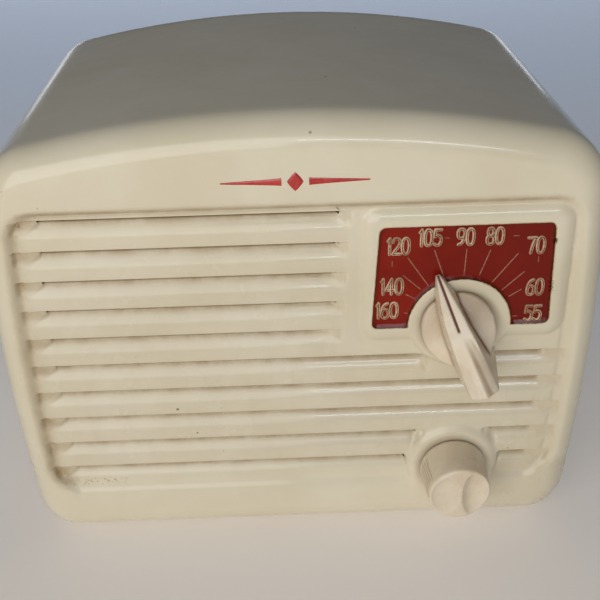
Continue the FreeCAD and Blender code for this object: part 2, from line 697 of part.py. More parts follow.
def baffle():
    x, z = SPEAKER_X, SPEAKER_Z
    board = box(x - 49.5, x + 49.5, BAFFLE_Y, BAFFLE_Y + BAFFLE_T, z - 47.0, z + 50.0)
    board = board.cut(rod_y(x, z, SPEAKER_R - 6.5, 0, 20))
    return board.cut(Part.makeCompound([rod_y(px, pz, 1.9, 0, 20) for px, pz in speaker_screw_places()]))


def grille_cloth():
    x, z = SPEAKER_X, SPEAKER_Z
    return box(x - 48.5, x + 48.5, BAFFLE_Y - 0.4, BAFFLE_Y, z - 46.0, z + 49.0)


def speaker_screw_places():
    r = SPEAKER_R - 2.5
    angles = [math.radians(45 + 90 * i) for i in range(4)]
    return [(SPEAKER_X + r * math.cos(a), SPEAKER_Z + r * math.sin(a)) for a in angles]


def speaker_screws():
    screws = []
    for x, z in speaker_screw_places():
        shank = rod_y(x, z, 1.7, BAFFLE_Y + 0.1, FLANGE_Y + 4)
        nut = rod_y(x, z, 2.6, FLANGE_Y + 1.0, FLANGE_Y + 2.6)
        screws.append(join([shank, nut]))
    return screws


def speaker_gasket():
    gasket = ring_y(SPEAKER_X, SPEAKER_Z, SPEAKER_R, SPEAKER_R - 4.8, BAFFLE_Y + BAFFLE_T, FLANGE_Y)
    return gasket.cut(Part.makeCompound([rod_y(px, pz, 1.9, 0, 20) for px, pz in speaker_screw_places()]))


def speaker_basket():
    x, z = SPEAKER_X, SPEAKER_Z
    profile = [(41.8, FLANGE_Y), (SPEAKER_R, FLANGE_Y), (SPEAKER_R, FLANGE_Y + 1.0), (42.6, FLANGE_Y + 1.0),
               (23.0, MAGNET_Y - 1.0), (23.0, MAGNET_Y), (11.5, MAGNET_Y), (11.5, MAGNET_Y - 1.0),
               (22.3, MAGNET_Y - 1.0), (41.8, FLANGE_Y + 0.9)]
    basket = turned(x, z, profile)
    holes = [rod_y(px, pz, 1.9, 0, 20) for px, pz in speaker_screw_places()]
    for i in range(4):
        slot = box(-8, 8, FLANGE_Y + 4, MAGNET_Y - 4, 24, 46)
        slot.rotate(V(0, 0, 0), Y_AXIS, 90 * i)
        slot.translate(V(x, 0, z))
        holes.append(slot)
    return basket.cut(Part.makeCompound(holes))


def speaker_magnet():
    """Pot, front plate and centre pole, with the gap that the voice coil moves in."""
    x, z = SPEAKER_X, SPEAKER_Z
    pot = rod_y(x, z, 17.0, MAGNET_Y, MAGNET_Y + 17)
    pot = pot.cut(rod_y(x, z, COIL_R + 0.9, MAGNET_Y - 1, MAGNET_Y + 14))
    pole = rod_y(x, z, COIL_R - 1.1, MAGNET_Y, MAGNET_Y + 14)
    return [pot, pole]


def speaker_cone():
    x, z = SPEAKER_X, SPEAKER_Z
    rim = FLANGE_Y + 0.1
    neck = MAGNET_Y - 6.0
    profile = [(CONE_R, rim), (CONE_R, rim + 0.6), (COIL_R, neck + 0.6), (COIL_R, neck)]
    return turned(x, z, profile)


def voice_coil():
    x, z = SPEAKER_X, SPEAKER_Z
    neck = MAGNET_Y - 6.0
    return ring_y(x, z, COIL_R, COIL_R - 0.4, neck - 1.5, MAGNET_Y + 8)


def dust_cap():
    x, z = SPEAKER_X, SPEAKER_Z
    y = MAGNET_Y - 7.5
    ball_r = 16.0
    sink = math.sqrt(ball_r ** 2 - (COIL_R - 0.4) ** 2)
    dome = Part.makeSphere(ball_r, V(x, y + sink, z))
    dome = dome.cut(Part.makeSphere(ball_r - 0.5, V(x, y + sink, z)))
    return dome.common(rod_y(x, z, COIL_R - 0.45, y - 10, y - 0.05))


def speaker_surround():
    x, z = SPEAKER_X, SPEAKER_Z
    y = FLANGE_Y
    return turned(x, z, [(CONE_R + 0.05, y + 0.1), (40.6, y - 1.2), (42.2, y - 0.5), (44.4, y - 0.5),
                         (44.4, y), (42.2, y), (40.6, y - 0.7), (CONE_R + 0.05, y + 0.6)])


def speaker_spider():
    x, z = SPEAKER_X, SPEAKER_Z
    y = MAGNET_Y - 2.6
    return turned(x, z, [(COIL_R + 0.05, y), (14, y - 0.8), (17.5, y + 0.4), (21.5, y), (21.5, y + 0.5),
                         (17.5, y + 0.9), (14, y - 0.3), (COIL_R + 0.05, y + 0.5)])


# ---- output transformer, filter capacitor and small parts ---------------------------------
FILTER_PLACE = (-18.0, 78.0, 20.0)
TRANSFORMER_X = 46.0
TRANSFORMER_Y = 72.0


def transformer_core():
    x, y, z = TRANSFORMER_X, TRANSFORMER_Y, CHASSIS_TOP
    core = box(x - 16, x + 16, y - 6, y + 6, z, z + 27)
    for side in (-1, 1):
        core = core.cut(box(x + side * 8.5 - 3, x + side * 8.5 + 3, y - 7, y + 7, z + 5.5, z + 21.5))
    return core


def transformer_coil():
    x, y, z = TRANSFORMER_X, TRANSFORMER_Y, CHASSIS_TOP
    coil = box(x - 11.2, x + 11.2, y - 12.5, y + 12.5, z + 5.8, z + 21.2)
    return coil.cut(box(x - 5.5, x + 5.5, y - 6, y + 6, z, z + 30))


def transformer_strap():
    x, y, z = TRANSFORMER_X, TRANSFORMER_Y, CHASSIS_TOP
    outer = box(x - 17, x + 17, y - 5, y + 5, z, z + 28)
    outer = outer.cut(box(x - 16, x + 16, y - 8, y + 8, z - 1, z + 27))
    feet = [box(x + side * 20 - 3.5, x + side * 20 + 3.5, y - 5, y + 5, z, z + 1.0) for side in (-1, 1)]
    return join([outer] + feet)


def filter_capacitor():
    x, y, z = FILTER_PLACE
    body = rod_x(y, z, 9.5, x - 32, x + 32)
    return [body.cut(rod_x(y, z, 8.0, x + 31, x + 33))]


def filter_clamp():
    x, y, z = FILTER_PLACE
    band = rod_x(y, z, 10.3, x - 5, x + 5).cut(rod_x(y, z, 9.5, x - 6, x + 6))
    stem = box(x - 5, x + 5, y - 0.6, y + 0.6, z + 10.0, CHASSIS_TOP - CHASSIS_WALL)
    return join([band, stem])


def resistors():
    return [rod_x(56 + 5 * i, 33.0, 1.9, 37 + 3 * (i % 2), 50 + 3 * (i % 2)) for i in range(5)]


def paper_capacitors():
    return [rod_x(57 + 10 * i, 17.0, 4.0, 38, 62) for i in range(3)]


def terminal_strips():
    strips = []
    for y in (53.5, 82.5):
        base = box(36, 65, y - 0.8, y + 0.8, 22.5, 28.5)
        lugs = [box(38 + 6 * i, 39.6 + 6 * i, y - 0.4, y + 0.4, 28.5, 31.0) for i in range(5)]
        foot = box(48, 53, y - 0.6, y + 0.6, 28.5, CHASSIS_TOP - CHASSIS_WALL)
        strips.append(join([base, foot] + lugs))
    return strips


def speaker_leads():
    leads = []
    for i in range(2):
        start = (SPEAKER_X + 14 + 4 * i, FLANGE_Y + 30, SPEAKER_Z + 30)
        bend = (SPEAKER_X + 40, FLANGE_Y + 36 + 3 * i, SPEAKER_Z + 36)
        end = (TRANSFORMER_X - 8 + 4 * i, TRANSFORMER_Y - 9, CHASSIS_TOP + 21.9)
        high = (14 + 3 * i, TRANSFORMER_Y - 10, SPEAKER_Z + 38)
        leads.append(wire_run([start, bend, high, end], 0.7))
    return leads


# ---- rear cover, aerial and cord gland ----------------------------------------------------
def rear_cover():
    cover = block(STEEL + 0.5, COVER_Y, COVER_Y + COVER_T, 0)
    holes = [rod_y(GLAND_X, GLAND_Z, 5.0, COVER_Y - 1, COVER_Y + 5)]
    for x, z in cover_screw_places():
        holes.append(rod_y(x, z, 1.7, COVER_Y - 1, COVER_Y + 5))
    for row in range(3):
        for col in range(9):
            z = 40.0 + 13.0 * row
            x = -56.0 + 14.0 * col
            holes.append(rod_y(x, z, 3.0, COVER_Y - 1, COVER_Y + 5))
    for col in range(7):
        holes.append(box(-49.5 + 14 * col, -34.5 + 14 * col - 4, COVER_Y - 1, COVER_Y + 5, 122.5, 125.5))
    return cover.cut(Part.makeCompound(holes))


def cover_screws():
    screws = []
    for x, z in cover_screw_places():
        head = rod_y(x, z, 3.2, COVER_Y + COVER_T, COVER_Y + COVER_T + 1.5)
        slot = box(x - 4, x + 4, COVER_Y + COVER_T + 0.9, COVER_Y + COVER_T + 2, z - 0.4, z + 0.4)
        screws.append(join([head.cut(slot), rod_y(x, z, 1.25, COVER_Y - 4, COVER_Y + COVER_T)]))
    return screws


def racetrack(half_x, half_z, r, y0, y1, z_mid):
    shape = box(-half_x, half_x, y0, y1, z_mid - half_z, z_mid + half_z)
    return round_uprights(shape, r, lambda x, z: True)


def loop_antenna():
    """Flat winding on the inside of the rear cover."""
    y0 = COVER_Y - 2.0
    outer = racetrack(66.0, 40.5, 22.0, y0, COVER_Y, 78.0)
    return outer.cut(racetrack(59.0, 33.5, 15.0, y0 - 1, COVER_Y + 1, 78.0))


def cord_gland():
    """Rubber grommet in the rear cover, with a groove that holds it in its hole."""
    y0, y1 = COVER_Y, COVER_Y + COVER_T
    profile = [(GLAND_BORE_R, y0 - 2), (7.0, y0 - 2), (7.4, y0), (5.0, y0), (5.0, y1), (7.4, y1),
               (7.0, y1 + 2), (GLAND_BORE_R, y1 + 2)]
    return turned(GLAND_X, GLAND_Z, profile)


# ---- files --------------------------------------------------------------------------------
def save(node, shapes):
    if not isinstance(shapes, (list, tuple)):
        shapes = [shapes]
    solids = []
    for shape in shapes:
        solids.extend(shape.Solids)
    whole = solids[0] if len(solids) == 1 else Part.makeCompound(solids)
    whole = whole.copy()
    whole.translate(V(0, Y_SHIFT, 0))
    whole.exportStep("parts/%s.step" % node)
    b = whole.BoundBox
    spans = (b.XMin, b.XMax, b.YMin, b.YMax, b.ZMin, b.ZMax)
    text = "%-28s %2d solids  valid %s  x %.1f..%.1f  y %.1f..%.1f  z %.1f..%.1f"
    print(text % ((node, len(solids), whole.isValid()) + spans))


def main():
    os.makedirs("parts", exist_ok=True)
    save("cabinet", cabinet())
    save("rubber_feet", rubber_feet())
    save("foot_rivets", foot_rivets())
    save("chassis", chassis())
    save("chassis_screws", chassis_screws())
    for name in tube_places():
        save("tube_%s" % name, tube(name))
        save("tube_socket_%s" % name, tube_socket(name))
    for name in can_places():
        save("if_transformer_%s" % name, if_transformer(name))
    save("oscillator_coil", oscillator_coil())
    save("tuning_capacitor_frame", capacitor_frame())
    save("tuning_capacitor_feet", capacitor_feet())
    save("tuning_capacitor_screws", capacitor_screws())
    save("tuning_capacitor_stators", capacitor_stators())
    save("tuning_capacitor_insulators", capacitor_insulators())
    save("tuning_capacitor_rotor", capacitor_rotor())
    save("tuning_capacitor_trimmers", capacitor_trimmers())
    save("tuning_knob", tuning_knob())
    save("tuning_knob_spring", knob_spring(TUNER_X, TUNER_Z, -11.0))
    save("volume_knob", volume_knob())
    save("volume_knob_spring", knob_spring(VOLUME_X, VOLUME_Z, -9.5))
    save("volume_control_body", volume_control_body())
    save("volume_control_shaft", volume_shaft())
    save("volume_control_nut", volume_nut())
    save("power_switch", power_switch())
    save("speaker_baffle", baffle())
    save("grille_cloth", grille_cloth())
    save("speaker_gasket", speaker_gasket())
    save("speaker_screws", speaker_screws())
    save("speaker_basket", speaker_basket())
    save("speaker_magnet", speaker_magnet())
    save("speaker_cone", speaker_cone())
    save("voice_coil", voice_coil())
    save("dust_cap", dust_cap())
    save("speaker_surround", speaker_surround())
    save("speaker_spider", speaker_spider())
    save("output_transformer_core", transformer_core())
    save("output_transformer_coil", transformer_coil())
    save("output_transformer_strap", transformer_strap())
    save("filter_capacitor", filter_capacitor())
    save("filter_capacitor_clamp", filter_clamp())
    save("resistors", resistors())
    save("paper_capacitors", paper_capacitors())
    save("terminal_strips", terminal_strips())
    save("speaker_leads", speaker_leads())
    save("rear_cover", rear_cover())
    save("rear_cover_screws", cover_screws())
    save("loop_antenna", loop_antenna())
    save("cord_gland", cord_gland())


main()
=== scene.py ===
"""Looks of a midget table radio: pressed-steel cabinet, red dial, pointer knob, volume knob.

Shapes are worked out in millimetres in the cabinet's drawing frame (y = 0 on the faces of the louvre
bars, +y to the rear, z = 0 on the table) and moved to the row frame, in metres, when a mesh is made.
"""
import math

import bpy
import numpy as np
from mathutils import Euler, Matrix, Vector


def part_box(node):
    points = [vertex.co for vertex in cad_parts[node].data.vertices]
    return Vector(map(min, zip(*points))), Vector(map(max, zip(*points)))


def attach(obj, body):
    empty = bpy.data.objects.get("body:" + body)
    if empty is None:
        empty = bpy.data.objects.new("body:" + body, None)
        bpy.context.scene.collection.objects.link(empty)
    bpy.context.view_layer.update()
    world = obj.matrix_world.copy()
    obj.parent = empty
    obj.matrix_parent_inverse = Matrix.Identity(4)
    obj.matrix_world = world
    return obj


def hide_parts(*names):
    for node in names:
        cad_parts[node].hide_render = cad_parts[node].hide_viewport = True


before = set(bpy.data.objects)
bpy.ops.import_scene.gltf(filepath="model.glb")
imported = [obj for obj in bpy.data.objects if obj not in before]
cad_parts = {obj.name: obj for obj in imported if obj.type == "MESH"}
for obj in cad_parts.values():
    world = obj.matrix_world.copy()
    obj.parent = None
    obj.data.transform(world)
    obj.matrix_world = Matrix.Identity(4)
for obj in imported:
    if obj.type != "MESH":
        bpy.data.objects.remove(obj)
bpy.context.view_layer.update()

MM = 0.001
REAR_Y = 118.0                                   # rear edge of the cabinet in the drawing frame
Y_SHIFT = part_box("cabinet")[1].y / MM - REAR_Y    # drawing frame to row frame


# ---- small helpers
def step01(t):
    t = np.clip(t, 0.0, 1.0)
    return t * t * (3 - 2 * t)


def mix(a, b, t):
    return a + (b - a) * t


def bell(t, width):
    return np.exp(-(t / width) ** 2)


def soft_min(a, b, k):
    h = np.clip(0.5 + 0.5 * (b - a) / k, 0, 1)
    return b + (a - b) * h - k * h * (1 - h)


def soft_max(a, b, k):
    return -soft_min(-a, -b, k)


def make_piece(name, points, faces, material, body, replaces=()):
    """A mesh from drawing-frame points, riding on a body."""
    co = np.asarray(points, float).copy()
    co[:, 1] += Y_SHIFT
    mesh = bpy.data.meshes.new(name)
    mesh.from_pydata((co * MM).tolist(), [], [tuple(int(i) for i in f) for f in faces])
    mesh.validate()
    mesh.update()
    mesh.polygons.foreach_set("use_smooth", [True] * len(mesh.polygons))
    obj = bpy.data.objects.new(name, mesh)
    bpy.context.scene.collection.objects.link(obj)
    mesh.materials.append(material)
    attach(obj, body)
    if replaces:
        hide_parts(*replaces)
    return obj


def point_attribute(obj, name, values):
    attribute = obj.data.attributes.new(name, "FLOAT", "POINT")
    attribute.data.foreach_set("value", np.asarray(values, np.float32))


# ---- materials
class Finish:
    """One procedural material. Sockets are given as sockets, uniform values as numbers."""

    def __init__(self, name, **inputs):
        self.material = bpy.data.materials.new(name)
        self.material.use_nodes = True
        self.tree = self.material.node_tree
        self.shader = self.tree.nodes["Principled BSDF"]
        coords = self.tree.nodes.new("ShaderNodeTexCoord")
        self.place = coords.outputs["Object"]
        self.set(**inputs)

    def put(self, socket, value):
        if isinstance(value, bpy.types.NodeSocket):
            self.tree.links.new(value, socket)
        elif isinstance(value, (tuple, list)) and len(value) == 3 and socket.type == "RGBA":
            socket.default_value = (*value, 1.0)
        else:
            socket.default_value = value

    def set(self, **inputs):
        for key, value in inputs.items():
            self.put(self.shader.inputs[key.replace("_", " ")], value)

    def node(self, kind, inputs=(), **settings):
        made = self.tree.nodes.new(kind)
        for key, value in settings.items():
            setattr(made, key, value)
        for key, value in dict(inputs).items():
            self.put(made.inputs[key], value)
        return made

    def stretched(self, scale):
        return self.node("ShaderNodeMapping", {"Vector": self.place, "Scale": scale}).outputs[0]

    def noise(self, scale, detail=3.0, rough=0.5, place=None, distortion=0.0):
        made = self.node("ShaderNodeTexNoise", {
            "Vector": place or self.place, "Scale": scale, "Detail": detail, "Roughness": rough,
            "Distortion": distortion})
        return made.outputs[0]

    def cells(self, scale, feature="F1", output="Distance"):
        made = self.node("ShaderNodeTexVoronoi", {"Vector": self.place, "Scale": scale}, feature=feature)
        return made.outputs[output]

    def wave(self, scale, direction, distortion=0.0):
        made = self.node("ShaderNodeTexWave", {
            "Vector": self.place, "Scale": scale, "Distortion": distortion}, bands_direction=direction)
        return made.outputs[1]

    def math(self, operation, a, b=0.0, clamp=False):
        made = self.node("ShaderNodeMath", operation=operation, use_clamp=clamp)
        self.put(made.inputs[0], a)
        self.put(made.inputs[1], b)
        return made.outputs[0]

    def span(self, value, low, high, to_low=0.0, to_high=1.0):
        made = self.node("ShaderNodeMapRange", {
            "Value": value, "From Min": low, "From Max": high, "To Min": to_low, "To Max": to_high},
            interpolation_type="SMOOTHSTEP")
        return made.outputs[0]

    def patches(self, *noise):
        return self.span(self.noise(*noise), 0.3, 0.7)

    def blend(self, factor, a, b):
        made = self.node("ShaderNodeMix", data_type="RGBA")
        self.put(made.inputs["Factor"], factor)
        self.put(made.inputs[6], a)
        self.put(made.inputs[7], b)
        return made.outputs[2]

    def attribute(self, name):
        return self.node("ShaderNodeAttribute", attribute_name=name).outputs["Fac"]

    def mottled_shade_and_dirt(self, noise, span):
        """The painted shade and dirt of the piece's points, mottled by a noise."""
        shade_and_dirt = self.attribute("shade_and_dirt")
        return self.math("MULTIPLY", shade_and_dirt, self.span(self.noise(*noise), *span), clamp=True)

    def axis(self, which):
        return self.node("ShaderNodeSeparateXYZ", {"Vector": self.place}).outputs[which]

    def bump(self, height, distance, strength=1.0, under=None):
        made = self.node("ShaderNodeBump", {"Height": height, "Distance": distance, "Strength": strength})
        if under is not None:
            self.put(made.inputs["Normal"], under)
        return made.outputs[0]


def enamel():
    """Glossy baked cream enamel, with the red field of the dial, painted shade and some dirt in the
    creases, and small chips.
    """
    f = Finish("cream_enamel_paint", IOR=1.5, Coat_Roughness=0.06, Coat_IOR=1.5)
    cloud = f.patches(28, 4, 0.55)
    cream = f.blend(cloud, (0.74, 0.665, 0.49), (0.79, 0.72, 0.555))
    # the cream is darkened to brown by painted shade, with some dirt, in creases, recesses and under the
    # louvre bars
    shade_and_dirt = f.mottled_shade_and_dirt((160, 4, 0.6), (0.25, 0.75, 0.55, 1.0))
    cream = f.blend(shade_and_dirt, cream, (0.36, 0.25, 0.12))
    # the field: signed distance to its edge in mm, negative inside
    edge = f.attribute("field")
    ragged = f.math("ADD", edge, f.span(f.noise(900, 3, 0.6), 0.2, 0.8, -0.07, 0.07))
    red_tone = f.span(f.noise(60, 4, 0.6), 0.25, 0.75)
    red = f.blend(red_tone, (0.20, 0.010, 0.004), (0.27, 0.016, 0.006))
    red = f.blend(f.span(f.axis("X"), 0.02, 0.075, 0.0, 0.5), red, (0.10, 0.008, 0.004))
    rim = f.span(edge, -0.42, -0.2)
    red = f.blend(rim, red, (0.055, 0.014, 0.006))
    gilt = f.span(edge, 0.0, 0.45, 1.0, 0.0)
    handled = f.span(f.axis("X"), 0.035, 0.062, 0.5, 0.9)
    patchy = f.math("ADD", handled, f.span(f.noise(350, 3), 0.3, 0.7, -0.3, 0.4))
    gilt = f.math("MULTIPLY", gilt, patchy, clamp=True)
    cream = f.blend(gilt, cream, (0.50, 0.29, 0.09))
    inside = f.span(ragged, -0.05, 0.05, 1.0, 0.0)
    colour = f.blend(inside, cream, red)
    # chips: sparse dark dots, and clusters of small ones where the specks attribute asks for them
    dots = f.cells(170)
    keep = f.span(f.cells(170, output="Color"), 0.80, 0.84)
    chip = f.math("MULTIPLY", f.span(dots, 0.05, 0.09, 1.0, 0.0), keep)
    chip = f.math("MULTIPLY", chip, f.span(f.noise(35, 2), 0.50, 0.62))
    small = f.span(f.cells(800), 0.2, 0.32, 1.0, 0.0)
    small = f.math("MULTIPLY", small, f.span(f.cells(800, output="Color"), 0.5, 0.55))
    chip = f.math("MAXIMUM", chip, f.math("MULTIPLY", small, f.attribute("specks")))
    colour = f.blend(f.math("MULTIPLY", chip, 0.75), colour, (0.10, 0.07, 0.045))
    rust = f.math("MULTIPLY", f.attribute("rust"), f.span(f.noise(700, 4, 0.7), 0.52, 0.6))
    colour = f.blend(rust, colour, (0.16, 0.05, 0.015))
    worn = f.math("ADD", f.span(f.noise(120, 4, 0.6), 0.3, 0.8, 0.17, 0.27), f.math("MULTIPLY", shade_and_dirt, 0.3))
    peel = f.noise(420, 2, 0.4)
    dents = f.noise(45, 2, 0.4)
    normal = f.bump(dents, 0.00022, 0.35)
    normal = f.bump(peel, 0.00006, 0.35, normal)
    normal = f.bump(f.math("SUBTRACT", 1.0, chip), 0.0001, 0.5, normal)
    f.set(Base_Color=colour, Roughness=worn, Normal=normal, Coat_Weight=f.span(inside, 0, 1, 0.26, 0.03),
          Specular_IOR_Level=f.span(inside, 0, 1, 0.34, 0.14))
    return f.material


def relief_paint():
    """Red paint worn off along the edges of the raised figures."""
    f = Finish("dial_figure_paint", IOR=1.5, Specular_IOR_Level=0.35)
    worn = f.math("ADD", f.attribute("worn"), f.span(f.noise(1500, 3, 0.7), 0.2, 0.8, -0.45, 0.35))
    worn = f.span(worn, 0.3, 0.62)
    pale = f.blend(f.span(f.noise(300), 0.35, 0.65), (0.42, 0.27, 0.15), (0.68, 0.53, 0.35))
    red = f.blend(f.patches(500), (0.12, 0.012, 0.006), (0.22, 0.02, 0.01))
    f.set(Base_Color=f.blend(worn, red, pale), Roughness=f.span(worn, 0, 1, 0.25, 0.42),
          Normal=f.bump(f.noise(1600, 2), 0.00004, 0.6))
    return f.material


def ray_paint():
    """Fine lines of the dial, where the red has worn to a dusty rose."""
    f = Finish("dial_ray_paint", IOR=1.5, Specular_IOR_Level=0.3)
    worn = f.span(f.noise(1200, 3, 0.7), 0.25, 0.7)
    f.set(Base_Color=f.blend(worn, (0.21, 0.05, 0.03), (0.47, 0.24, 0.15)),
          Roughness=f.span(worn, 0, 1, 0.3, 0.45))
    return f.material


def ornament_paint():
    f = Finish("red_ornament_paint", IOR=1.5, Coat_Weight=0.5, Coat_Roughness=0.1)
    tone = f.patches(400, 3)
    f.set(Base_Color=f.blend(tone, (0.46, 0.02, 0.015), (0.56, 0.035, 0.025)),
          Roughness=f.span(tone, 0, 1, 0.22, 0.34), Normal=f.bump(f.noise(900, 2), 0.00004, 0.5))
    return f.material


def knob_ivory(name, line):
    """Aged ivory plastic: slightly see-through, with painted shade and some dirt in its hollows."""
    f = Finish(name, IOR=1.5, Subsurface_Weight=0.12, Subsurface_Scale=0.002,
               Subsurface_Radius=(1.0, 0.6, 0.35), Coat_Weight=0.25, Coat_Roughness=0.15)
    streak = f.span(f.noise(90, 4, 0.6, f.stretched((1, 0.35, 1))), 0.3, 0.7)
    colour = f.blend(streak, (0.73, 0.61, 0.44), (0.82, 0.72, 0.565))
    # the ivory is darkened to brown by painted shade, with some dirt, in the knob's hollows, creases and at
    # its foot
    shade_and_dirt = f.mottled_shade_and_dirt((700, 4, 0.7), (0.15, 0.5, 0.35, 1.0))
    colour = f.blend(shade_and_dirt, colour, (0.25, 0.125, 0.048))
    if line:
        colour = f.blend(f.attribute("line"), colour, (0.11, 0.001, 0.001))
    rough = f.math("ADD", f.span(f.noise(200, 3), 0.3, 0.7, 0.26, 0.36), f.math("MULTIPLY", shade_and_dirt, 0.25))
    scratches = f.noise(900, 3, 0.6, f.stretched((1, 0.15, 1)))
    f.set(Base_Color=colour, Roughness=rough, Normal=f.bump(scratches, 0.00005, 0.4))
    return f.material


def metal(name, colour, dull, rough, brush=(1, 1, 1), grain=900, spots=0.35):
    f = Finish(name, Metallic=1.0)
    marks = f.span(f.noise(140, 5, 0.6), 0.35, 0.75)
    lines = f.noise(grain, 3, 0.6, f.stretched(brush))
    f.set(Base_Color=f.blend(f.math("MULTIPLY", marks, spots), colour, dull),
          Roughness=f.span(lines, 0.3, 0.7, rough - 0.07, rough + 0.1), Normal=f.bump(lines, 0.00004, 0.35))
    return f.material


def board():
    f = Finish("fibreboard_brown", Specular_IOR_Level=0.35)
    fibre = f.noise(700, 5, 0.7, f.stretched((1, 1, 2.2)), 0.6)
    patch = f.patches(30, 4)
    colour = f.blend(patch, (0.17, 0.095, 0.05), (0.235, 0.14, 0.078))
    flecks = f.span(f.noise(1500, 3, 0.6), 0.62, 0.7)
    colour = f.blend(f.math("MULTIPLY", flecks, 0.5), colour, (0.36, 0.25, 0.15))
    f.set(Base_Color=colour, Roughness=f.span(fibre, 0.3, 0.7, 0.62, 0.8),
          Normal=f.bump(fibre, 0.00012, 0.6))
    return f.material


def cloth():
    """Plain woven grille cloth with a coarse warp and weft."""
    f = Finish("grille_cloth_weave", Specular_IOR_Level=0.2, Sheen_Weight=0.25, Sheen_Roughness=0.4)
    warp = f.wave(320, "X")
    weft = f.wave(320, "Z")
    weave = f.math("MAXIMUM", warp, weft)
    tone = f.patches(500, 3)
    thread = f.blend(tone, (0.075, 0.05, 0.032), (0.13, 0.09, 0.055))
    f.set(Base_Color=f.blend(f.span(weave, 0.2, 0.9), (0.025, 0.017, 0.012), thread),
          Roughness=f.span(tone, 0, 1, 0.8, 0.92), Normal=f.bump(weave, 0.0003, 0.8))
    return f.material


def rubber(name, colour, pale):
    f = Finish(name, Specular_IOR_Level=0.4)
    dust = f.span(f.noise(350, 5, 0.65), 0.45, 0.8)
    f.set(Base_Color=f.blend(f.math("MULTIPLY", dust, 0.5), colour, pale),
          Roughness=f.span(dust, 0, 1, 0.55, 0.8), Normal=f.bump(f.noise(1200, 3), 0.00008, 0.5))
    return f.material


def phenolic():
    f = Finish("brown_phenolic_board", IOR=1.55)
    layers = f.wave(900, "Z", distortion=1.5)
    patch = f.patches(90, 4)
    colour = f.blend(patch, (0.115, 0.045, 0.018), (0.19, 0.08, 0.032))
    f.set(Base_Color=f.blend(f.math("MULTIPLY", layers, 0.25), colour, (0.05, 0.02, 0.01)),
          Roughness=f.span(f.noise(250, 3), 0.3, 0.7, 0.3, 0.45),
          Normal=f.bump(f.noise(1500, 3), 0.00003, 0.5))
    return f.material


def grey_paint():
    f = Finish("grey_paint_basket", IOR=1.45)
    tone = f.patches(120, 4)
    hammer = f.cells(500, "SMOOTH_F1")
    f.set(Base_Color=f.blend(tone, (0.19, 0.2, 0.21), (0.26, 0.27, 0.28)),
          Roughness=f.span(tone, 0, 1, 0.35, 0.5), Normal=f.bump(hammer, 0.0001, 0.4))
    return f.material


def glass():
    """Tube glass, silvered by its getter near the top."""
    f = Finish("tube_glass_bulb", IOR=1.47, Transmission_Weight=0.9)
    smoke = f.patches(90, 3)
    getter = f.span(f.axis("Z"), 0.078, 0.094)
    colour = f.blend(f.math("MULTIPLY", getter, 0.9), (0.86, 0.9, 0.88), (0.12, 0.12, 0.13))
    f.set(Base_Color=f.blend(f.math("MULTIPLY", smoke, 0.25), colour, (0.45, 0.44, 0.42)),
          Roughness=f.span(f.noise(400, 3), 0.4, 0.8, 0.03, 0.12))
    return f.material


def paper(name, low, high, grain):
    f = Finish(name, Specular_IOR_Level=0.3)
    fibre = f.noise(grain, 5, 0.65)
    tone = f.patches(60, 4)
    f.set(Base_Color=f.blend(tone, low, high), Roughness=f.span(fibre, 0.3, 0.7, 0.5, 0.8),
          Normal=f.bump(fibre, 0.0001, 0.6))
    return f.material


def wound_wire():
    f = Finish("copper_wire_turns", Metallic=0.85)
    turns = f.wave(800, "Z")
    tone = f.patches(80, 3)
    f.set(Base_Color=f.blend(tone, (0.42, 0.16, 0.06), (0.56, 0.25, 0.10)),
          Roughness=f.span(turns, 0, 1, 0.28, 0.45), Normal=f.bump(turns, 0.0001, 0.6))
    return f.material


FINISHES = {
    "cream_enamel": enamel(),
    "ivory_knob": knob_ivory("ivory_plastic", False),
    "black_rubber": rubber("black_rubber_aged", (0.018, 0.017, 0.016), (0.10, 0.095, 0.085)),
    "soft_rubber": rubber("soft_rubber_red", (0.16, 0.05, 0.03), (0.28, 0.13, 0.09)),
    "fibreboard": board(),
    "grille_cloth": cloth(),
    "plated_steel": metal("zinc_plated_steel", (0.56, 0.56, 0.54), (0.30, 0.27, 0.22), 0.38),
    "aluminium": metal("soft_aluminium", (0.78, 0.78, 0.77), (0.55, 0.54, 0.52), 0.33, (1, 1, 0.1)),
    "steel_shaft": metal("turned_shaft_steel", (0.60, 0.59, 0.57), (0.38, 0.35, 0.30), 0.25, (1, 0.1, 1)),
    "lamination_steel": metal("core_laminations", (0.22, 0.20, 0.19), (0.13, 0.09, 0.07), 0.5,
                              (0.1, 3, 0.1), 600),
    "tube_glass": glass(),
    "brown_phenolic": phenolic(),
    "grey_paint": grey_paint(),
    "cone_paper": paper("speaker_cone_paper", (0.022, 0.02, 0.018), (0.045, 0.04, 0.036), 900),
    "waxed_paper": paper("waxed_paper_sleeve", (0.42, 0.30, 0.13), (0.55, 0.42, 0.21), 400),
    "copper_wire": wound_wire(),
}
POINTER_IVORY = knob_ivory("ivory_plastic_pointer", True)
FIGURES = relief_paint()
RAY_PAINT = ray_paint()
ORNAMENT = ornament_paint()

for cad_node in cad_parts.values():
    for holder in cad_node.material_slots:
        holder.material = FINISHES[holder.material.name.split(".")[0]]


# ---- cabinet: outline
HALF_WIDTH, WIDEST_Z, SIDE_R = 86.5, 68.0, 560.0
TOP_Z, TOP_R, LOW_Z = 137.5, 330.0, 2.0
TOP_CORNER, LOW_CORNER = 17.0, 13.0
ROLL, RIM_Y = 9.0, -1.5
SIDE_C = np.array([HALF_WIDTH - SIDE_R, WIDEST_Z])
TOP_C = np.array([0.0, TOP_Z - TOP_R])


def corner_centre():
    """Centre of the arc that joins the bowed side to the crowned top."""
    a, b = SIDE_R - TOP_CORNER, TOP_R - TOP_CORNER
    d = TOP_C - SIDE_C
    gap = np.hypot(*d)
    along = (a * a - b * b + gap * gap) / (2 * gap)
    up = math.sqrt(a * a - along * along)
    p = SIDE_C + d * along / gap
    across = np.array([-d[1], d[0]]) / gap
    return max((p + across * up, p - across * up), key=lambda q: q[1])


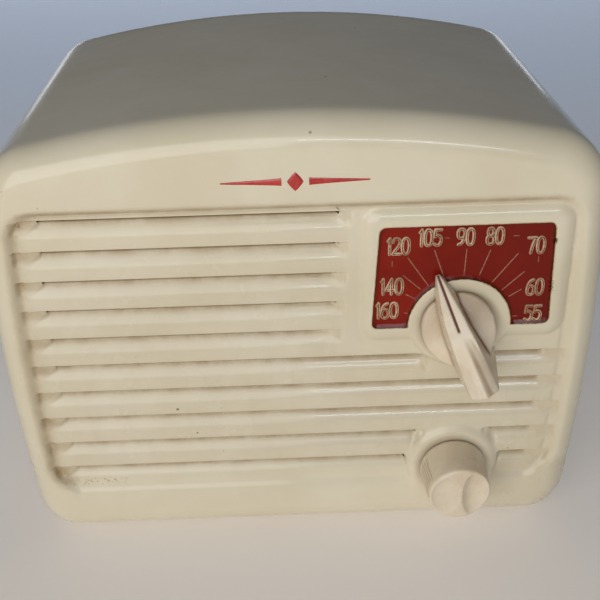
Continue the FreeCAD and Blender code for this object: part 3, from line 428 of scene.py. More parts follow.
TOP_K = corner_centre()
LOW_K = np.array([SIDE_C[0] + math.sqrt((SIDE_R - LOW_CORNER) ** 2 - (LOW_Z + LOW_CORNER - WIDEST_Z) ** 2),
                  LOW_Z + LOW_CORNER])
FACE = np.array([TOP_CORNER - ROLL, LOW_CORNER - ROLL])     # corner radii of the flat rim


def rim_normal(x, z):
    """Outward direction of the outline at points of the flat rim's own outline."""
    ax = np.abs(x)
    n = np.zeros((len(x), 2))
    side_hi = math.atan2(TOP_K[1] - SIDE_C[1], TOP_K[0] - SIDE_C[0])
    side_lo = math.atan2(LOW_K[1] - SIDE_C[1], LOW_K[0] - SIDE_C[0])
    angle = np.arctan2(z - SIDE_C[1], ax - SIDE_C[0])
    top_hi = math.atan2(TOP_K[1] - TOP_C[1], TOP_K[0])
    from_top = np.arctan2(z - TOP_C[1], ax)
    for i in range(len(x)):
        p = np.array([ax[i], z[i]])
        if z[i] < LOW_K[1] + 1e-6 and ax[i] <= LOW_K[0]:
            v = np.array([0.0, -1.0])
        elif z[i] > WIDEST_Z and from_top[i] >= top_hi:
            v = p - TOP_C
        elif angle[i] > side_hi:
            v = p - TOP_K
        elif angle[i] < side_lo:
            v = p - LOW_K
        else:
            v = p - SIDE_C
        n[i] = v / np.hypot(*v)
    n[:, 0] *= np.sign(x) + (x == 0)
    return n


def rim_side(z):
    """Half width of the flat rim's outline at height z."""
    z = np.asarray(z, float)
    x = SIDE_C[0] + np.sqrt((SIDE_R - ROLL) ** 2 - (z - WIDEST_Z) ** 2)
    top = TOP_K[0] + np.sqrt(np.clip(FACE[0] ** 2 - (z - TOP_K[1]) ** 2, 0, None))
    low = LOW_K[0] + np.sqrt(np.clip(FACE[1] ** 2 - (LOW_K[1] - z) ** 2, 0, None))
    x = np.where(z > TOP_K[1] + 0.66, np.minimum(x, top), x)
    return np.where(z < LOW_K[1], np.minimum(x, low), x)


def rim_top(x):
    ax = np.abs(x)
    z = TOP_C[1] + np.sqrt((TOP_R - ROLL) ** 2 - ax ** 2)
    arc = TOP_K[1] + np.sqrt(np.clip(FACE[0] ** 2 - (ax - TOP_K[0]) ** 2, 0, None))
    return np.where(ax > TOP_K[0] + 1.7, arc, z)


def rim_low(x):
    ax = np.abs(x)
    arc = LOW_K[1] - np.sqrt(np.clip(FACE[1] ** 2 - (ax - LOW_K[0]) ** 2, 0, None))
    return np.where(ax > LOW_K[0], arc, LOW_Z + ROLL)


# ---- cabinet: relief of the front
PANEL_HALF, PANEL_LOW, PANEL_HIGH, PANEL_CORNER = 79.0, 21.5, 113.2, 7.0
PITCH, LOWEST_SLIT, LOUVRES = 9.17, 28.5, 10
LOUVRE_HALF = 75.4
SHORT_FROM = 5              # the louvres from this one up end left of the dial
DIAL_FRAME = (17.3, 75.6, 70.3, 111.6, 5.5)          # left, right, low, high, corner radius
TUNER, RING = (44.6, 76.3), (45.4, 75.5)             # axis of the pointer, centre of its boss
FIELD_LOW, FIELD_HIGH, FIELD_ARC = 75.1, 106.5, 14.6
VOLUME, VOLUME_BOSS_R = (46.3, 24.7), 13.5
SHAFT_HOLE_R = 4.75


def rounded(x, z, x0, x1, z0, z1, r):
    """Signed distance to a rounded rectangle, negative inside."""
    dx = np.abs(x - (x0 + x1) / 2) - (x1 - x0) / 2 + r
    dz = np.abs(z - (z0 + z1) / 2) - (z1 - z0) / 2 + r
    outside = np.hypot(np.maximum(dx, 0), np.maximum(dz, 0))
    return outside + np.minimum(np.maximum(dx, dz), 0) - r


def bow(z):
    """How far the bowed sides lie inwards at height z."""
    return (z - WIDEST_Z) ** 2 / (2 * SIDE_R)


def panel_depth(x, z):
    """Distance inwards from the edge of the louvred panel."""
    bowed = (np.abs(x) + bow(z)) * np.sign(x)
    return -rounded(bowed, z, -PANEL_HALF, PANEL_HALF, PANEL_LOW, PANEL_HIGH, PANEL_CORNER)


def field_left(z):
    return 20.5 + (z - 75.3) * 1.8 / 31.2


def field_right(z):
    return 70.8 - (z - 75.0) * 1.0 / 31.5


def field_distance(x, z):
    """Signed distance to the red field's edge: a slightly tapered plate less the round boss."""
    mid = (field_left(z) + field_right(z)) / 2
    half = (field_right(z) - field_left(z)) / 2
    plate = rounded(x - mid, z, -half, half, FIELD_LOW, FIELD_HIGH, 1.8)
    return np.maximum(plate, FIELD_ARC - np.hypot(x - RING[0], z - RING[1]))


def rise(x, z, rim):
    """How far the front stands forward of the louvre bars. rim is the height of the rim there."""
    s = panel_depth(x, z)
    at_side = step01((np.abs(x) - 68) / 6)
    at_foot = step01((34 - z) / 8) * (1 - at_side)
    before = mix(mix(1.3, 1.5, at_side), 5.0, at_foot)
    after = mix(mix(1.2, 2.9, at_side), 0.5, at_foot)
    w = step01((s + before) / (before + after))
    floor = mix(-0.25, -0.45, at_side) * (1 - step01((s - 3.3) / 0.6))
    p = mix(rim, 0.0, w) + floor * w
    f = -rounded(x, z, *DIAL_FRAME)
    t = np.clip(f / 3.8, 0, 1)
    p = np.where(f > 0, np.maximum(p * (1 - step01(f / 1.5)), 1.65 * (1 - (1 - t) ** 2)), p)
    ring = np.hypot(x - RING[0], z - RING[1])
    below = step01((74.0 - z) / 5)
    dish = 1.6 - 0.8 * step01((13.6 - ring) / 4.5)
    p = mix(p, dish, 1 - step01((ring - mix(13.7, 12.6, below)) / mix(0.9, 2.0, below)))
    boss = np.hypot(x - VOLUME[0], z - VOLUME[1])
    p = mix(p, 1.5 - 0.35 * step01((12.4 - boss) / 3.0), 1 - step01((boss - 12.3) / 2.6))
    return p


def louvre_end(z):
    return LOUVRE_HALF - bow(z)


# one louvre from the lower edge of the bar above it down to the next bar's:
# (flat z, share of the pocket's depth beyond the vane's end, y, z, how far the vane's end lies inwards)
LOUVRE = [(0.1, 0.0, 0.0, 0.38, 2.6), (0.0, 0.1, 0.1, 0.12, 3.4), (-0.1, 0.8, 0.42, -0.04, 3.9),
          (-0.3, 1.0, 0.86, 0.16, 4.3), (-0.7, 1.0, 1.05, 0.8, 4.6), (-1.2, 1.0, 1.05, 2.0, 4.7),
          (-1.8, 1.0, 2.0, -0.9, 4.7), (-2.4, 0.95, 1.86, -1.6, 4.3), (-2.95, 0.85, 1.5, -2.5, 3.7),
          (-3.45, 0.7, 1.0, -3.25, 2.9), (-3.95, 0.48, 0.6, -4.0, 2.0), (-4.45, 0.25, 0.3, -4.6, 1.2),
          (-5.0, 0.08, 0.08, -5.15, 0.6), (-5.9, 0.0, 0.0, -5.95, 0.1), (-7.5, 0.0, 0.0, -7.5, 0.0)]
GAP_ROW = 5                 # the slit is open between this row and the next
POCKET = 1.05               # depth of the pocket beyond a vane's end
OUTER = 77.5                # outermost column


def front_rows():
    """Rows of the front sheet from the bottom up: (even z, louvre number, row of the louvre)."""
    rows = []
    n = len(LOUVRE)
    for k in range(LOUVRES - 1, -1, -1):
        slit = LOWEST_SLIT + PITCH * k
        for i in range(n if k else n - 1):
            rows.append((slit + 0.3 - PITCH * i / n, k, i))
    top = rows[0][0]
    high = [(z, -1, -1) for z in np.arange(115.6, top + 0.3, -0.5)]
    low = [(z, -1, -1) for z in np.linspace(rows[-1][0] - 0.35, 19.0, 6)]
    return (high + rows + low)[::-1]


def front_columns():
    xs = [-OUTER, -77.0, -76.5, -76.0]
    xs += list(np.arange(-75.5, -66.4, 0.5))
    xs += [-65, -63, -60, -53, -45, -36, -27, -18, -9, 0, 6, 9, 10.5]
    xs += list(np.arange(11.5, 19.9, 0.5))
    xs += list(np.arange(20.0, 71.6, 0.55))
    xs += list(np.arange(72.0, 77.6, 0.5))
    return np.array(xs)


def louvre_row(x, z, louvre, row):
    """Depth, height and share of the vane along one row of a louvre."""
    flat, depth, vane_y, vane_z, inward = LOUVRE[row]
    slit = LOWEST_SLIT + PITCH * louvre
    left = louvre_end(slit)
    if louvre >= SHORT_FROM:
        right = 14.9 + (slit - 111) * 0.073
        even = step01((x - 16.5) / 2.0)
        pocket = step01((right - x) / 0.7)
        e = step01((right - 1.3 - inward * 0.45 - x) / 1.5 + 0.5)
    else:
        even = step01((18.5 - np.abs(x - 45.5)) / 3.0)
        pocket = step01((77.4 - x) / 0.8)
        e = step01((left - inward - x) / 1.6 + 0.5)
    z = mix(slit + flat, z, even)
    e = e * step01((x + left - inward) / 1.6 + 0.5)
    pocket = pocket * step01((x + 77.4) / 0.8)
    for (bx, bz), br in ((RING, 14.2), (VOLUME, VOLUME_BOSS_R + 0.3)):
        away = np.hypot(x - bx, np.minimum(np.abs(slit - 1.8 - bz), np.abs(z - bz)))
        pocket = pocket * step01((away - br) / 0.8)
        e = e * step01((away - br - 0.2) / 1.6)
    return mix(depth * POCKET * pocket, vane_y, e), mix(z, slit + vane_z, e), e


def front_grid():
    """Points of the front sheet on a grid of rows and columns, and each one's share of a vane."""
    rows = front_rows()
    cols = front_columns()
    low_z, high_z = rows[0][0], rows[-1][0]
    low_b = LOW_K[1] - FACE[1] * math.sin(math.radians(45))
    high_b = TOP_K[1] + FACE[0] * math.sin(math.radians(48))
    wing = step01((np.abs(cols) - 52) / 25.5)
    tiers = [("low", q) for q in (1.0, 0.72, 0.42, 0.18)]
    tiers += [("mid", r) for r in rows]
    tiers += [("high", q) for q in (0.12, 0.26, 0.42, 0.6, 0.8, 1.0)]
    grid = np.zeros((len(tiers), len(cols), 3))
    vane = np.zeros((len(tiers), len(cols)))
    for j, (kind, r) in enumerate(tiers):
        if kind == "low":
            z_edge = mix(low_z, low_b, r)
        elif kind == "high":
            z_edge = mix(high_z, high_b, r)
        else:
            z_edge = r[0]
        x = cols + np.sign(cols) * (rim_side(z_edge) - OUTER) * wing
        y = np.zeros(len(cols))
        if kind == "mid":
            z = np.full(len(cols), z_edge)
            # columns lean with the slanted ends of the red field
            reach = step01((z_edge - 66) / 6) * step01((117 - z_edge) / 5)
            zc = np.clip(z_edge, 75.3, FIELD_HIGH)
            for side, column, width in ((field_left, 21.55, 4.0), (field_right, 70.05, 2.5)):
                x = x + reach * (side(zc) - column) * bell(cols - column, width)
            if r[1] >= 0:
                y, z, vane[j] = louvre_row(x, z, r[1], r[2])
        else:
            z = mix(low_z, rim_low(x), r) if kind == "low" else mix(high_z, rim_top(x), r)
            z[[0, -1]] = z_edge
        grid[j] = np.stack([x, y, z], 1)
    return tiers, grid, vane


def onto_field_edge(x, z, vane):
    """Moves grid points near the red field's edge onto it, so that the edge is one clean line."""
    h = 0.05
    for _ in range(3):
        d = field_distance(x, z)
        gx = (field_distance(x + h, z) - field_distance(x - h, z)) / (2 * h)
        gz = (field_distance(x, z + h) - field_distance(x, z - h)) / (2 * h)
        near = (np.abs(d) < 0.31) & (vane < 0.01)
        x = np.where(near, x - d * gx, x)
        z = np.where(near, z - d * gz, z)
    return x, z


def front_faces(tiers, x, z, vane):
    """Faces of the front sheet, without the open slits and the two shaft holes."""
    rows_n, cols_n = x.shape
    index = np.arange(x.size).reshape(x.shape)
    gap = [kind == "mid" and r[2] == GAP_ROW + 1 for kind, r in tiers]
    faces = []
    for j in range(rows_n - 1):
        for i in range(cols_n - 1):
            if gap[j] and vane[j:j + 2, i:i + 2].min() > 0.45:
                continue
            cx = (x[j, i] + x[j, i + 1]) / 2
            cz = (z[j, i] + z[j + 1, i]) / 2
            if any(math.hypot(cx - hx, cz - hz) < SHAFT_HOLE_R for hx, hz in (TUNER, VOLUME)):
                continue
            faces.append((index[j, i], index[j, i + 1], index[j + 1, i + 1], index[j + 1, i]))
    loop = list(index[0, :]) + list(index[1:, -1]) + list(index[-1, -2::-1]) + list(index[-2:0:-1, 0])
    return faces, loop


def body_rings(start):
    """Rings of points from the front sheet's outline round the rim and back to the rolled rear edge."""
    normal = rim_normal(start[:, 0], start[:, 2])

    def offset(out):
        return start[:, 0] + normal[:, 0] * out, start[:, 2] + normal[:, 1] * out

    rings = []
    for inset in (8.4, 7.8, 7.2, 6.6, 6.0, 5.3, 4.5, 3.6, 2.6, 1.6, 0.75, 0.2, 0.0):
        turn = math.asin(min(1.0, (ROLL - inset) / ROLL))
        rim = -RIM_Y - ROLL * (1 - math.cos(turn))
        px, pz = offset(ROLL - inset)
        front = rise(px, pz, rim) if inset > 5 else np.full(len(px), rim)
        rings.append(np.stack([px, -front, pz], 1))
    edge = [(y, 0.0) for y in (10, 16, 26, 40, 56, 72, 88, 102, 112)]
    edge += [(116.6, 0.0), (117.5, 0.15), (118.0, 0.6), (117.9, 1.15), (117.2, 1.3), (115.8, 1.3)]
    for y, inset in edge:
        px, pz = offset(ROLL - inset)
        rings.append(np.stack([px, np.full(len(px), y), pz], 1))
    return rings


def cabinet_marks_and_shade(points, field, vane, pocket):
    """Painted shade with some dirt, rust and specks of the cabinet's points, and its depth inside the
    panel.
    """
    px, pz = points[:, 0], points[:, 2]
    front = points[:, 1] < 6
    s = panel_depth(px, pz)
    ring = np.hypot(px - RING[0], pz - RING[1])
    boss = np.hypot(px - VOLUME[0], pz - VOLUME[1])
    low_left = step01((60 - pz) / 40) * (px < 0)
    beside = step01((np.abs(px) - 68) / 5)
    # painted shade in the channel beside the louvres, stronger on the left and low down
    shade_and_dirt = (0.15 + 0.4 * (px < 0) + 0.25 * low_left) * bell(s - 1.6, 2.2) * front * beside
    # painted shade on the top wall of the panel, which faces down
    shade_and_dirt = shade_and_dirt + 0.5 * bell(s - 0.2, 1.3) * front * (1 - beside) * step01((pz - 100) / 6)
    # painted shade in the crease between the upper rim and the dial frame
    shade_and_dirt += 0.3 * bell(pz - 112.9, 0.8) * front * (np.abs(px) < 74)
    # painted shade towards the bottom right, beside the volume knob
    shade_and_dirt = shade_and_dirt + 0.22 * front * step01((px - 48) / 16) * step01((27 - pz) / 5)
    # painted shade, darker lower down in the louvred panel away from the red field
    shade_and_dirt = shade_and_dirt + 0.1 * front * step01((s - 3) / 2) * step01((108 - pz) / 25) * (field > 0.5)
    # painted shade in the pockets at the louvre ends, stronger on the left
    shade_and_dirt += pocket * (0.25 + 0.3 * (px < 0))
    # painted shade round the feet of the two knobs on their bosses
    shade_and_dirt += 0.30 * bell(ring - 10.6, 0.9) * front + 0.25 * bell(boss - 10.4, 0.9) * front
    # painted shade on the vanes, darkest just under each bar's lower edge
    shade_and_dirt += vane * (0.06 + 0.75 * step01((points[:, 1] - 1.2) / 0.7))
    rust = bell(s - 0.6, 0.8) * front * step01((30 - pz) / 8) * bell(px + 64, 9)
    rust += bell(px + 73.8, 0.8) * bell(pz - 110.1, 1.4) * front
    specks = bell(px + 74, 9) * bell(pz - 116, 4) + 0.6 * bell(px + 62, 8) * bell(pz - 22, 1.5)
    return {"shade_and_dirt": np.clip(shade_and_dirt, 0, 1), "rust": rust, "specks": front * specks}, front & (s > 2.0)


def build_cabinet():
    tiers, grid, vane = front_grid()
    x, z = onto_field_edge(grid[..., 0], grid[..., 2], vane)
    field = field_distance(x, z)
    forward = np.where(field < -0.08, 0.5, rise(x, z, 1.5))
    sunk = grid[..., 1]
    y = np.where(sunk > 0, np.maximum(-forward, mix(np.minimum(sunk, POCKET), sunk, vane)), -forward)
    y = np.where((sunk > 0) & (forward > 0.05), mix(-forward, sunk, vane), y)
    pocket = np.clip(sunk / POCKET, 0, 1) * (1 - vane)
    faces, loop = front_faces(tiers, x, z, vane)
    sheet = np.stack([x, y, z], 2).reshape(-1, 3)
    rings = body_rings(sheet[loop])
    n = len(loop)
    last = np.array(loop)
    for k in range(len(rings)):
        here = np.arange(n) + len(sheet) + k * n
        for a in range(n):
            b = (a + 1) % n
            faces.append((last[a], here[a], here[b], last[b]))
        last = here
    points = np.concatenate([sheet] + rings)
    rest = np.zeros(len(points) - len(sheet))
    field = np.concatenate([np.clip(field, -3, 3).ravel(), rest + 3.0])
    vane = np.concatenate([vane.ravel(), rest])
    pocket = np.concatenate([pocket.ravel(), rest])
    obj = make_piece("cabinet_shell", points, faces, FINISHES["cream_enamel"], "root",
                     ("cabinet",))
    # wear holds the painted shade with some dirt, and the rust and specks
    wear, thin = cabinet_marks_and_shade(points, field, vane, pocket)
    point_attribute(obj, "field", field)
    for name, values in wear.items():
        point_attribute(obj, name, values)
    group = obj.vertex_groups.new(name="sheet")
    group.add([int(v) for v in np.nonzero(~thin)[0]], 1.0, "REPLACE")
    solid = obj.modifiers.new("sheet", "SOLIDIFY")
    solid.thickness = 1.0 * MM
    solid.offset = -1.0
    solid.vertex_group = "sheet"
    solid.thickness_vertex_group = 0.45


# ---- painted figures of the dial
def smooth_line(points, count=8):
    """Points of a Catmull-Rom curve."""
    p = np.array(points, float)
    out = []
    for i in range(len(p) - 1):
        a, b, c, d = p[max(i - 1, 0)], p[i], p[i + 1], p[min(i + 2, len(p) - 1)]
        for t in np.arange(count) / count:
            out.append(0.5 * (2 * b + (c - a) * t + (2 * a - 5 * b + 4 * c - d) * t ** 2
                              + (3 * b - a - 3 * c + d) * t ** 3))
    out.append(p[-1])
    return np.array(out)


def oval(cx, cz, rx, rz, count=26, power=2.4):
    a = np.arange(count) * 2 * math.pi / count
    c, s = np.cos(a), np.sin(a)
    x = cx + rx * np.sign(c) * np.abs(c) ** (2 / power)
    return np.stack([x, cz + rz * np.sign(s) * np.abs(s) ** (2 / power)], 1)


def glyphs():
    """Width and strokes, as (points, closed), of each digit in a cell 1 high."""
    def stroke(*points):
        return list(points), False

    def curve(*points):
        return smooth_line(points), False

    def loop(*shape):
        return oval(*shape), True

    return {
        "0": (0.6, [loop(0.3, 0.5, 0.25, 0.5)]),
        "1": (0.34, [stroke((0.19, 0.0), (0.19, 0.5), (0.19, 1.0)), stroke((0.19, 0.99), (0.06, 0.84))]),
        "2": (0.6, [curve((0.05, 0.76), (0.12, 0.94), (0.3, 1.0), (0.49, 0.92), (0.54, 0.73), (0.43, 0.49),
                          (0.2, 0.22), (0.05, 0.02)), stroke((0.04, 0.01), (0.57, 0.01))]),
        "4": (0.62, [stroke((0.43, 0.0), (0.43, 0.5), (0.43, 1.0)),
                     stroke((0.43, 0.99), (0.22, 0.6), (0.03, 0.27)), stroke((0.03, 0.27), (0.6, 0.27))]),
        "5": (0.6, [stroke((0.53, 0.98), (0.12, 0.98)), stroke((0.12, 0.98), (0.08, 0.55)),
                    curve((0.08, 0.55), (0.28, 0.63), (0.49, 0.54), (0.55, 0.32), (0.46, 0.08), (0.26, 0.0),
                          (0.05, 0.1))]),
        "6": (0.6, [loop(0.3, 0.29, 0.25, 0.29),
                    curve((0.47, 0.98), (0.25, 0.88), (0.1, 0.62), (0.05, 0.3))]),
        "7": (0.6, [stroke((0.03, 0.98), (0.57, 0.98)), curve((0.57, 0.98), (0.38, 0.55), (0.26, 0.0))]),
        "8": (0.6, [loop(0.3, 0.76, 0.2, 0.24), loop(0.3, 0.26, 0.25, 0.27)]),
        "9": (0.6, [loop(0.3, 0.71, 0.25, 0.29),
                    curve((0.55, 0.7), (0.51, 0.4), (0.36, 0.13), (0.13, 0.02))]),
    }


def ribbon(line, closed, section, base, store):
    """A raised stroke: section is (offset, height, wear) across it."""
    p = np.array(line, float)
    n = len(p)
    if closed:
        t = np.roll(p, -1, 0) - np.roll(p, 1, 0)
    else:
        t = np.gradient(p, axis=0)
    t /= np.maximum(np.hypot(t[:, 0], t[:, 1])[:, None], 1e-9)
    side = np.stack([-t[:, 1], t[:, 0]], 1)
    rows = []
    if closed:
        for a in range(n):
            rows.append((p[a], side[a], 1.0, 1.0))
    else:
        half = section[-1][0]
        rows.append((p[0] - t[0] * half * 0.9, side[0], 0.35, 0.0))
        rows.append((p[0] - t[0] * half * 0.55, side[0], 0.8, 0.9))
        for a in range(n):
            rows.append((p[a], side[a], 1.0, 1.0))
        rows.append((p[-1] + t[-1] * half * 0.55, side[-1], 0.8, 0.9))
        rows.append((p[-1] + t[-1] * half * 0.9, side[-1], 0.35, 0.0))
    points, faces, worn = store
    m = len(section)
    first = len(points)
    for q, s, wide, tall in rows:
        ending = 1.0 if wide < 0.9 else 0.0
        for off, height, wear in section:
            x, z = q + s * off * wide
            points.append((x, base - height * tall if height > 0 else base + 0.12, z))
            worn.append(max(wear, ending * 0.8 * (height > 0)))
    k = len(rows)
    for a in range(k if closed else k - 1):
        here, after = first + a * m, first + (a + 1) % k * m
        for i in range(m - 1):
            faces.append((here + i, here + i + 1, after + i + 1, after + i))
        faces.append((here + m - 1, here, after, after + m - 1))
    if not closed:
        faces.append(tuple(first + i for i in range(m)))
        faces.append(tuple(first + (k - 1) * m + i for i in reversed(range(m))))


FIELD_Y = -0.5
STROKE = [(-0.5, -1, 0.0), (-0.47, 0.02, 0.7), (-0.33, 0.3, 1.0), (-0.19, 0.36, 0.75), (0.0, 0.37, 0.02),
          (0.19, 0.36, 0.75), (0.33, 0.3, 1.0), (0.47, 0.02, 0.7), (0.5, -1, 0.0)]
HAIR = [(-0.2, -1, 0.0), (-0.17, 0.01, 0.1), (-0.06, 0.13, 0.75), (0.06, 0.13, 0.75), (0.17, 0.01, 0.1),
        (0.2, -1, 0.0)]
FAINT = [(o * 0.7, h if h < 0 else h * 0.6, w) for o, h, w in HAIR]
DIGIT_HIGH, DIGIT_WIDE = 4.75, 4.2
NUMBERS = [("120", 27.5, 100.4), ("105", 36.1, 102.7), ("90", 45.7, 102.6), ("80", 53.7, 102.6),
           ("70", 65.2, 99.4), ("60", 66.1, 86.4), ("55", 66.3, 78.0), ("140", 26.0, 88.0),
           ("160", 24.8, 80.4)]
RAYS = [((30.3, 96.7), (36.2, 88.0)), ((37.5, 98.8), (40.6, 90.0)), ((46.3, 98.8), (46.0, 90.9)),
        ((52.8, 98.2), (50.3, 90.7)), ((60.5, 97.0), (54.0, 88.3)), ((62.7, 91.3), (57.0, 85.8)),
        ((62.3, 85.7), (59.2, 83.7)), ((29.2, 91.3), (34.0, 87.0)), ((30.2, 85.3), (32.5, 84.0))]
TICKS = [((29.8, 79.4), (31.0, 79.2)), ((62.0, 77.2), (60.4, 77.1)), ((26.0, 94.3), (26.0, 95.9)),
         ((58.8, 102.4), (60.4, 102.4)), ((66.3, 94.2), (66.3, 95.8)), ((40.3, 102.4), (41.2, 102.4))]


def build_figures():
    points, faces, worn = store = ([], [], [])
    shapes = glyphs()
    for text, cx, cz in NUMBERS:
        x = cx - sum(shapes[c][0] for c in text) * DIGIT_WIDE / 2
        for c in text:
            advance, strokes = shapes[c]
            corner = (x + 0.05 * DIGIT_WIDE, cz - DIGIT_HIGH / 2)
            for line, closed in strokes:
                line = np.array(line, float) * (DIGIT_WIDE * 0.9, DIGIT_HIGH) + corner
                ribbon(line, closed, STROKE, FIELD_Y, store)
            x += advance * DIGIT_WIDE
    obj = make_piece("dial_figures", points, faces, FIGURES, "root")
    point_attribute(obj, "worn", worn)
    points, faces, worn = store = ([], [], [])
    for (a, b), section in [(r, HAIR) for r in RAYS] + [(r, FAINT) for r in TICKS]:
        line = [mix(np.array(a), np.array(b), t) for t in np.linspace(0, 1, 5)]
        ribbon(line, False, section, FIELD_Y, store)
    make_piece("dial_rays", points, faces, RAY_PAINT, "root")


ORNAMENT_Z = 120.6
BAR_START, BAR_END = 3.6, 19.5


def build_ornament():
    """A slim tapered bar on each side of a small lozenge, painted over the louvres."""
    points, faces = [], []
    xs = np.linspace(BAR_START, BAR_END, 14)
    for side in (-1, 1):
        first = len(points)
        for a in xs:
            t = (a - BAR_START) / (BAR_END - BAR_START)
            half = mix(1.15, 0.22, t ** 0.8)
            for off, h in ((-1, -0.05), (-0.86, 0.09), (0, 0.12), (0.86, 0.09), (1, -0.05)):
                points.append((side * a, RIM_Y - h, ORNAMENT_Z + half * off))
        for i in range(len(xs) - 1):
            for k in range(4):
                here, after = first + i * 5 + k, first + i * 5 + k + 5
                quad = (here, here + 1, after + 1, after)
                faces.append(quad if side < 0 else quad[::-1])
    first = len(points)
    for half, h in ((2.5, -0.05), (2.25, 0.1), (0.9, 0.13)):
        for a in range(24):
            turn = math.radians(a * 15)
            c, s = math.cos(turn), math.sin(turn)
            r = half / (abs(c) ** 1.15 + abs(s) ** 1.15) ** (1 / 1.15)
            points.append((r * c * 0.9, RIM_Y - h, ORNAMENT_Z + r * s * 1.1))
    points.append((0, RIM_Y - 0.14, ORNAMENT_Z))
    for here in (first, first + 24):
        for a in range(24):
            b = (a + 1) % 24
            faces.append((here + a, here + b, here + 24 + b, here + 24 + a))
    for a in range(24):
        faces.append((first + 48 + a, first + 48 + (a + 1) % 24, first + 72))
    make_piece("painted_ornament", points, faces, ORNAMENT, "root")


# ---- knobs, as the zero surface of a function
def surface_net(f, low, high, step):
    """Quads on the zero surface of f, which is negative inside."""
    axes = [np.arange(a - 1.5 * step, b + 1.6 * step, step) for a, b in zip(low, high)]
    mesh = np.meshgrid(*axes, indexing="ij")
    values = f(*mesh)
    inside = values < 0
    shape = np.array(values.shape) - 1
    count = np.zeros(shape, int)
    for corner in np.ndindex(2, 2, 2):
        count += inside[tuple(slice(c, c + s) for c, s in zip(corner, shape))]
    cells = np.argwhere((count > 0) & (count < 8))
    number = np.full(shape, -1)
    number[tuple(cells.T)] = np.arange(len(cells))
    total = np.zeros((len(cells), 3))
    hits = np.zeros(len(cells))
    for axis in range(3):
        others = [a for a in range(3) if a != axis]
        for c in np.ndindex(2, 2):
            near = cells.copy()
            near[:, others[0]] += c[0]
            near[:, others[1]] += c[1]
            far = near.copy()
            far[:, axis] += 1
            v0, v1 = values[tuple(near.T)], values[tuple(far.T)]
            crossing = (v0 < 0) != (v1 < 0)
            t = np.where(crossing, v0 / np.where(crossing, v0 - v1, 1), 0)
            spot = near.astype(float)
            spot[:, axis] += t
            total += spot * crossing[:, None]
            hits += crossing
    origin = np.array([a[0] for a in axes])
    points = origin + total / hits[:, None] * step
    faces = []
    for axis in range(3):
        o1, o2 = (axis + 1) % 3, (axis + 2) % 3
        lo = [slice(None)] * 3
        hi = [slice(None)] * 3
        lo[axis], hi[axis] = slice(0, -1), slice(1, None)
        change = inside[tuple(lo)] != inside[tuple(hi)]
        for g in np.argwhere(change):
            if g[o1] == 0 or g[o2] == 0 or g[o1] >= shape[o1] or g[o2] >= shape[o2]:
                continue
            ring = []
            for a, b in ((0, 0), (-1, 0), (-1, -1), (0, -1)):
                cell = g.copy()
                cell[o1] += a
                cell[o2] += b
                ring.append(number[tuple(cell)])
            faces.append(ring if inside[tuple(g)] else ring[::-1])
    h = step * 0.2
    for _ in range(3):              # the points slide along the gradient onto the surface itself
        x, y, z = points.T
        v = f(x, y, z)
        g = np.stack([f(x + h, y, z) - f(x - h, y, z), f(x, y + h, z) - f(x, y - h, z),
                      f(x, y, z + h) - f(x, y, z - h)], 1) / (2 * h)
        shift = -v[:, None] * g / np.maximum((g ** 2).sum(1), 1e-6)[:, None]
        length = np.maximum(np.sqrt((shift ** 2).sum(1)), 1e-9)
        points = points + shift * np.minimum(1, 0.4 * step / length)[:, None]
    return points, faces


KNOB_BACK, BORE_R = 1.9, 3.3
TIP, TAIL = 17.0, -12.0
TIP_RISE, TAIL_RISE = 3.5, 24.0
BASE_R = 10.3
POINTER_BORE, VOLUME_BORE = 12.5, 10.9               # how far out the bores for the shafts reach
VOLUME_RISE, RIB_SHARE = 15.3, 0.78                  # the ribs sit where |cos(angle)| is over this
REST_ANGLE = math.radians(21.5)


def ridge(s):
    return TIP_RISE + (TIP - s) * (TAIL_RISE - TIP_RISE) / (TIP - TAIL)


def grip_half(s, t):
    """Half width of the top of the grip, left and right of the pointer's line."""
    at = [TAIL, 0.5, 3.7, 6.7, 11.6, 15.2, TIP]
    right = np.interp(s, at, [4.2, 3.5, 3.0, 2.65, 1.75, 1.15, 0.5])
    return np.where(t > 0, right, np.interp(s, at, [3.1, 3.3, 3.15, 3.0, 2.0, 1.05, 0.5]))


def fluting(s, t):
    """How deep the grip's flutes are along s, and the place across them."""
    a = np.clip((2.6 - s) / 14.6, 0, 1) ** 0.9
    return a, (t - mix(0.2, 0.8, a)) / mix(0.45, 1.0, a)


def grip_top(s, t):
    """The top of the grip: a sloping line with two flutes that deepen towards the tail."""
    a, across = fluting(s, t)
    return ridge(s) - a * np.interp(across, [-5, -4, -2, -0.5, 0, 0.4, 1.1, 1.8, 2.6, 3.3, 4.4],
                                    [2.7, 2.0, 0.8, 0.1, 0, 0.15, 0.7, 1.1, 1.4, 1.9, 3.0])


def knob_base(s, t, h):
    round_ = np.hypot(s, t)
    slope = 2.6 + (10.0 - s) * 0.335 - 0.75 * step01(1 - round_ / BASE_R)
    slope = slope - 0.02 * np.clip(np.abs(t) - 4, 0, 9) ** 2
    slope = slope + 2.6 * np.exp(-np.clip(t - 3.0, 0, 9) / 1.9) * step01(t / 2) * step01((9 - s) / 9)
    side = round_ - (BASE_R - 0.012 * (h - KNOB_BACK))
    return soft_max(side, (h - slope) * 0.94, 0.6)


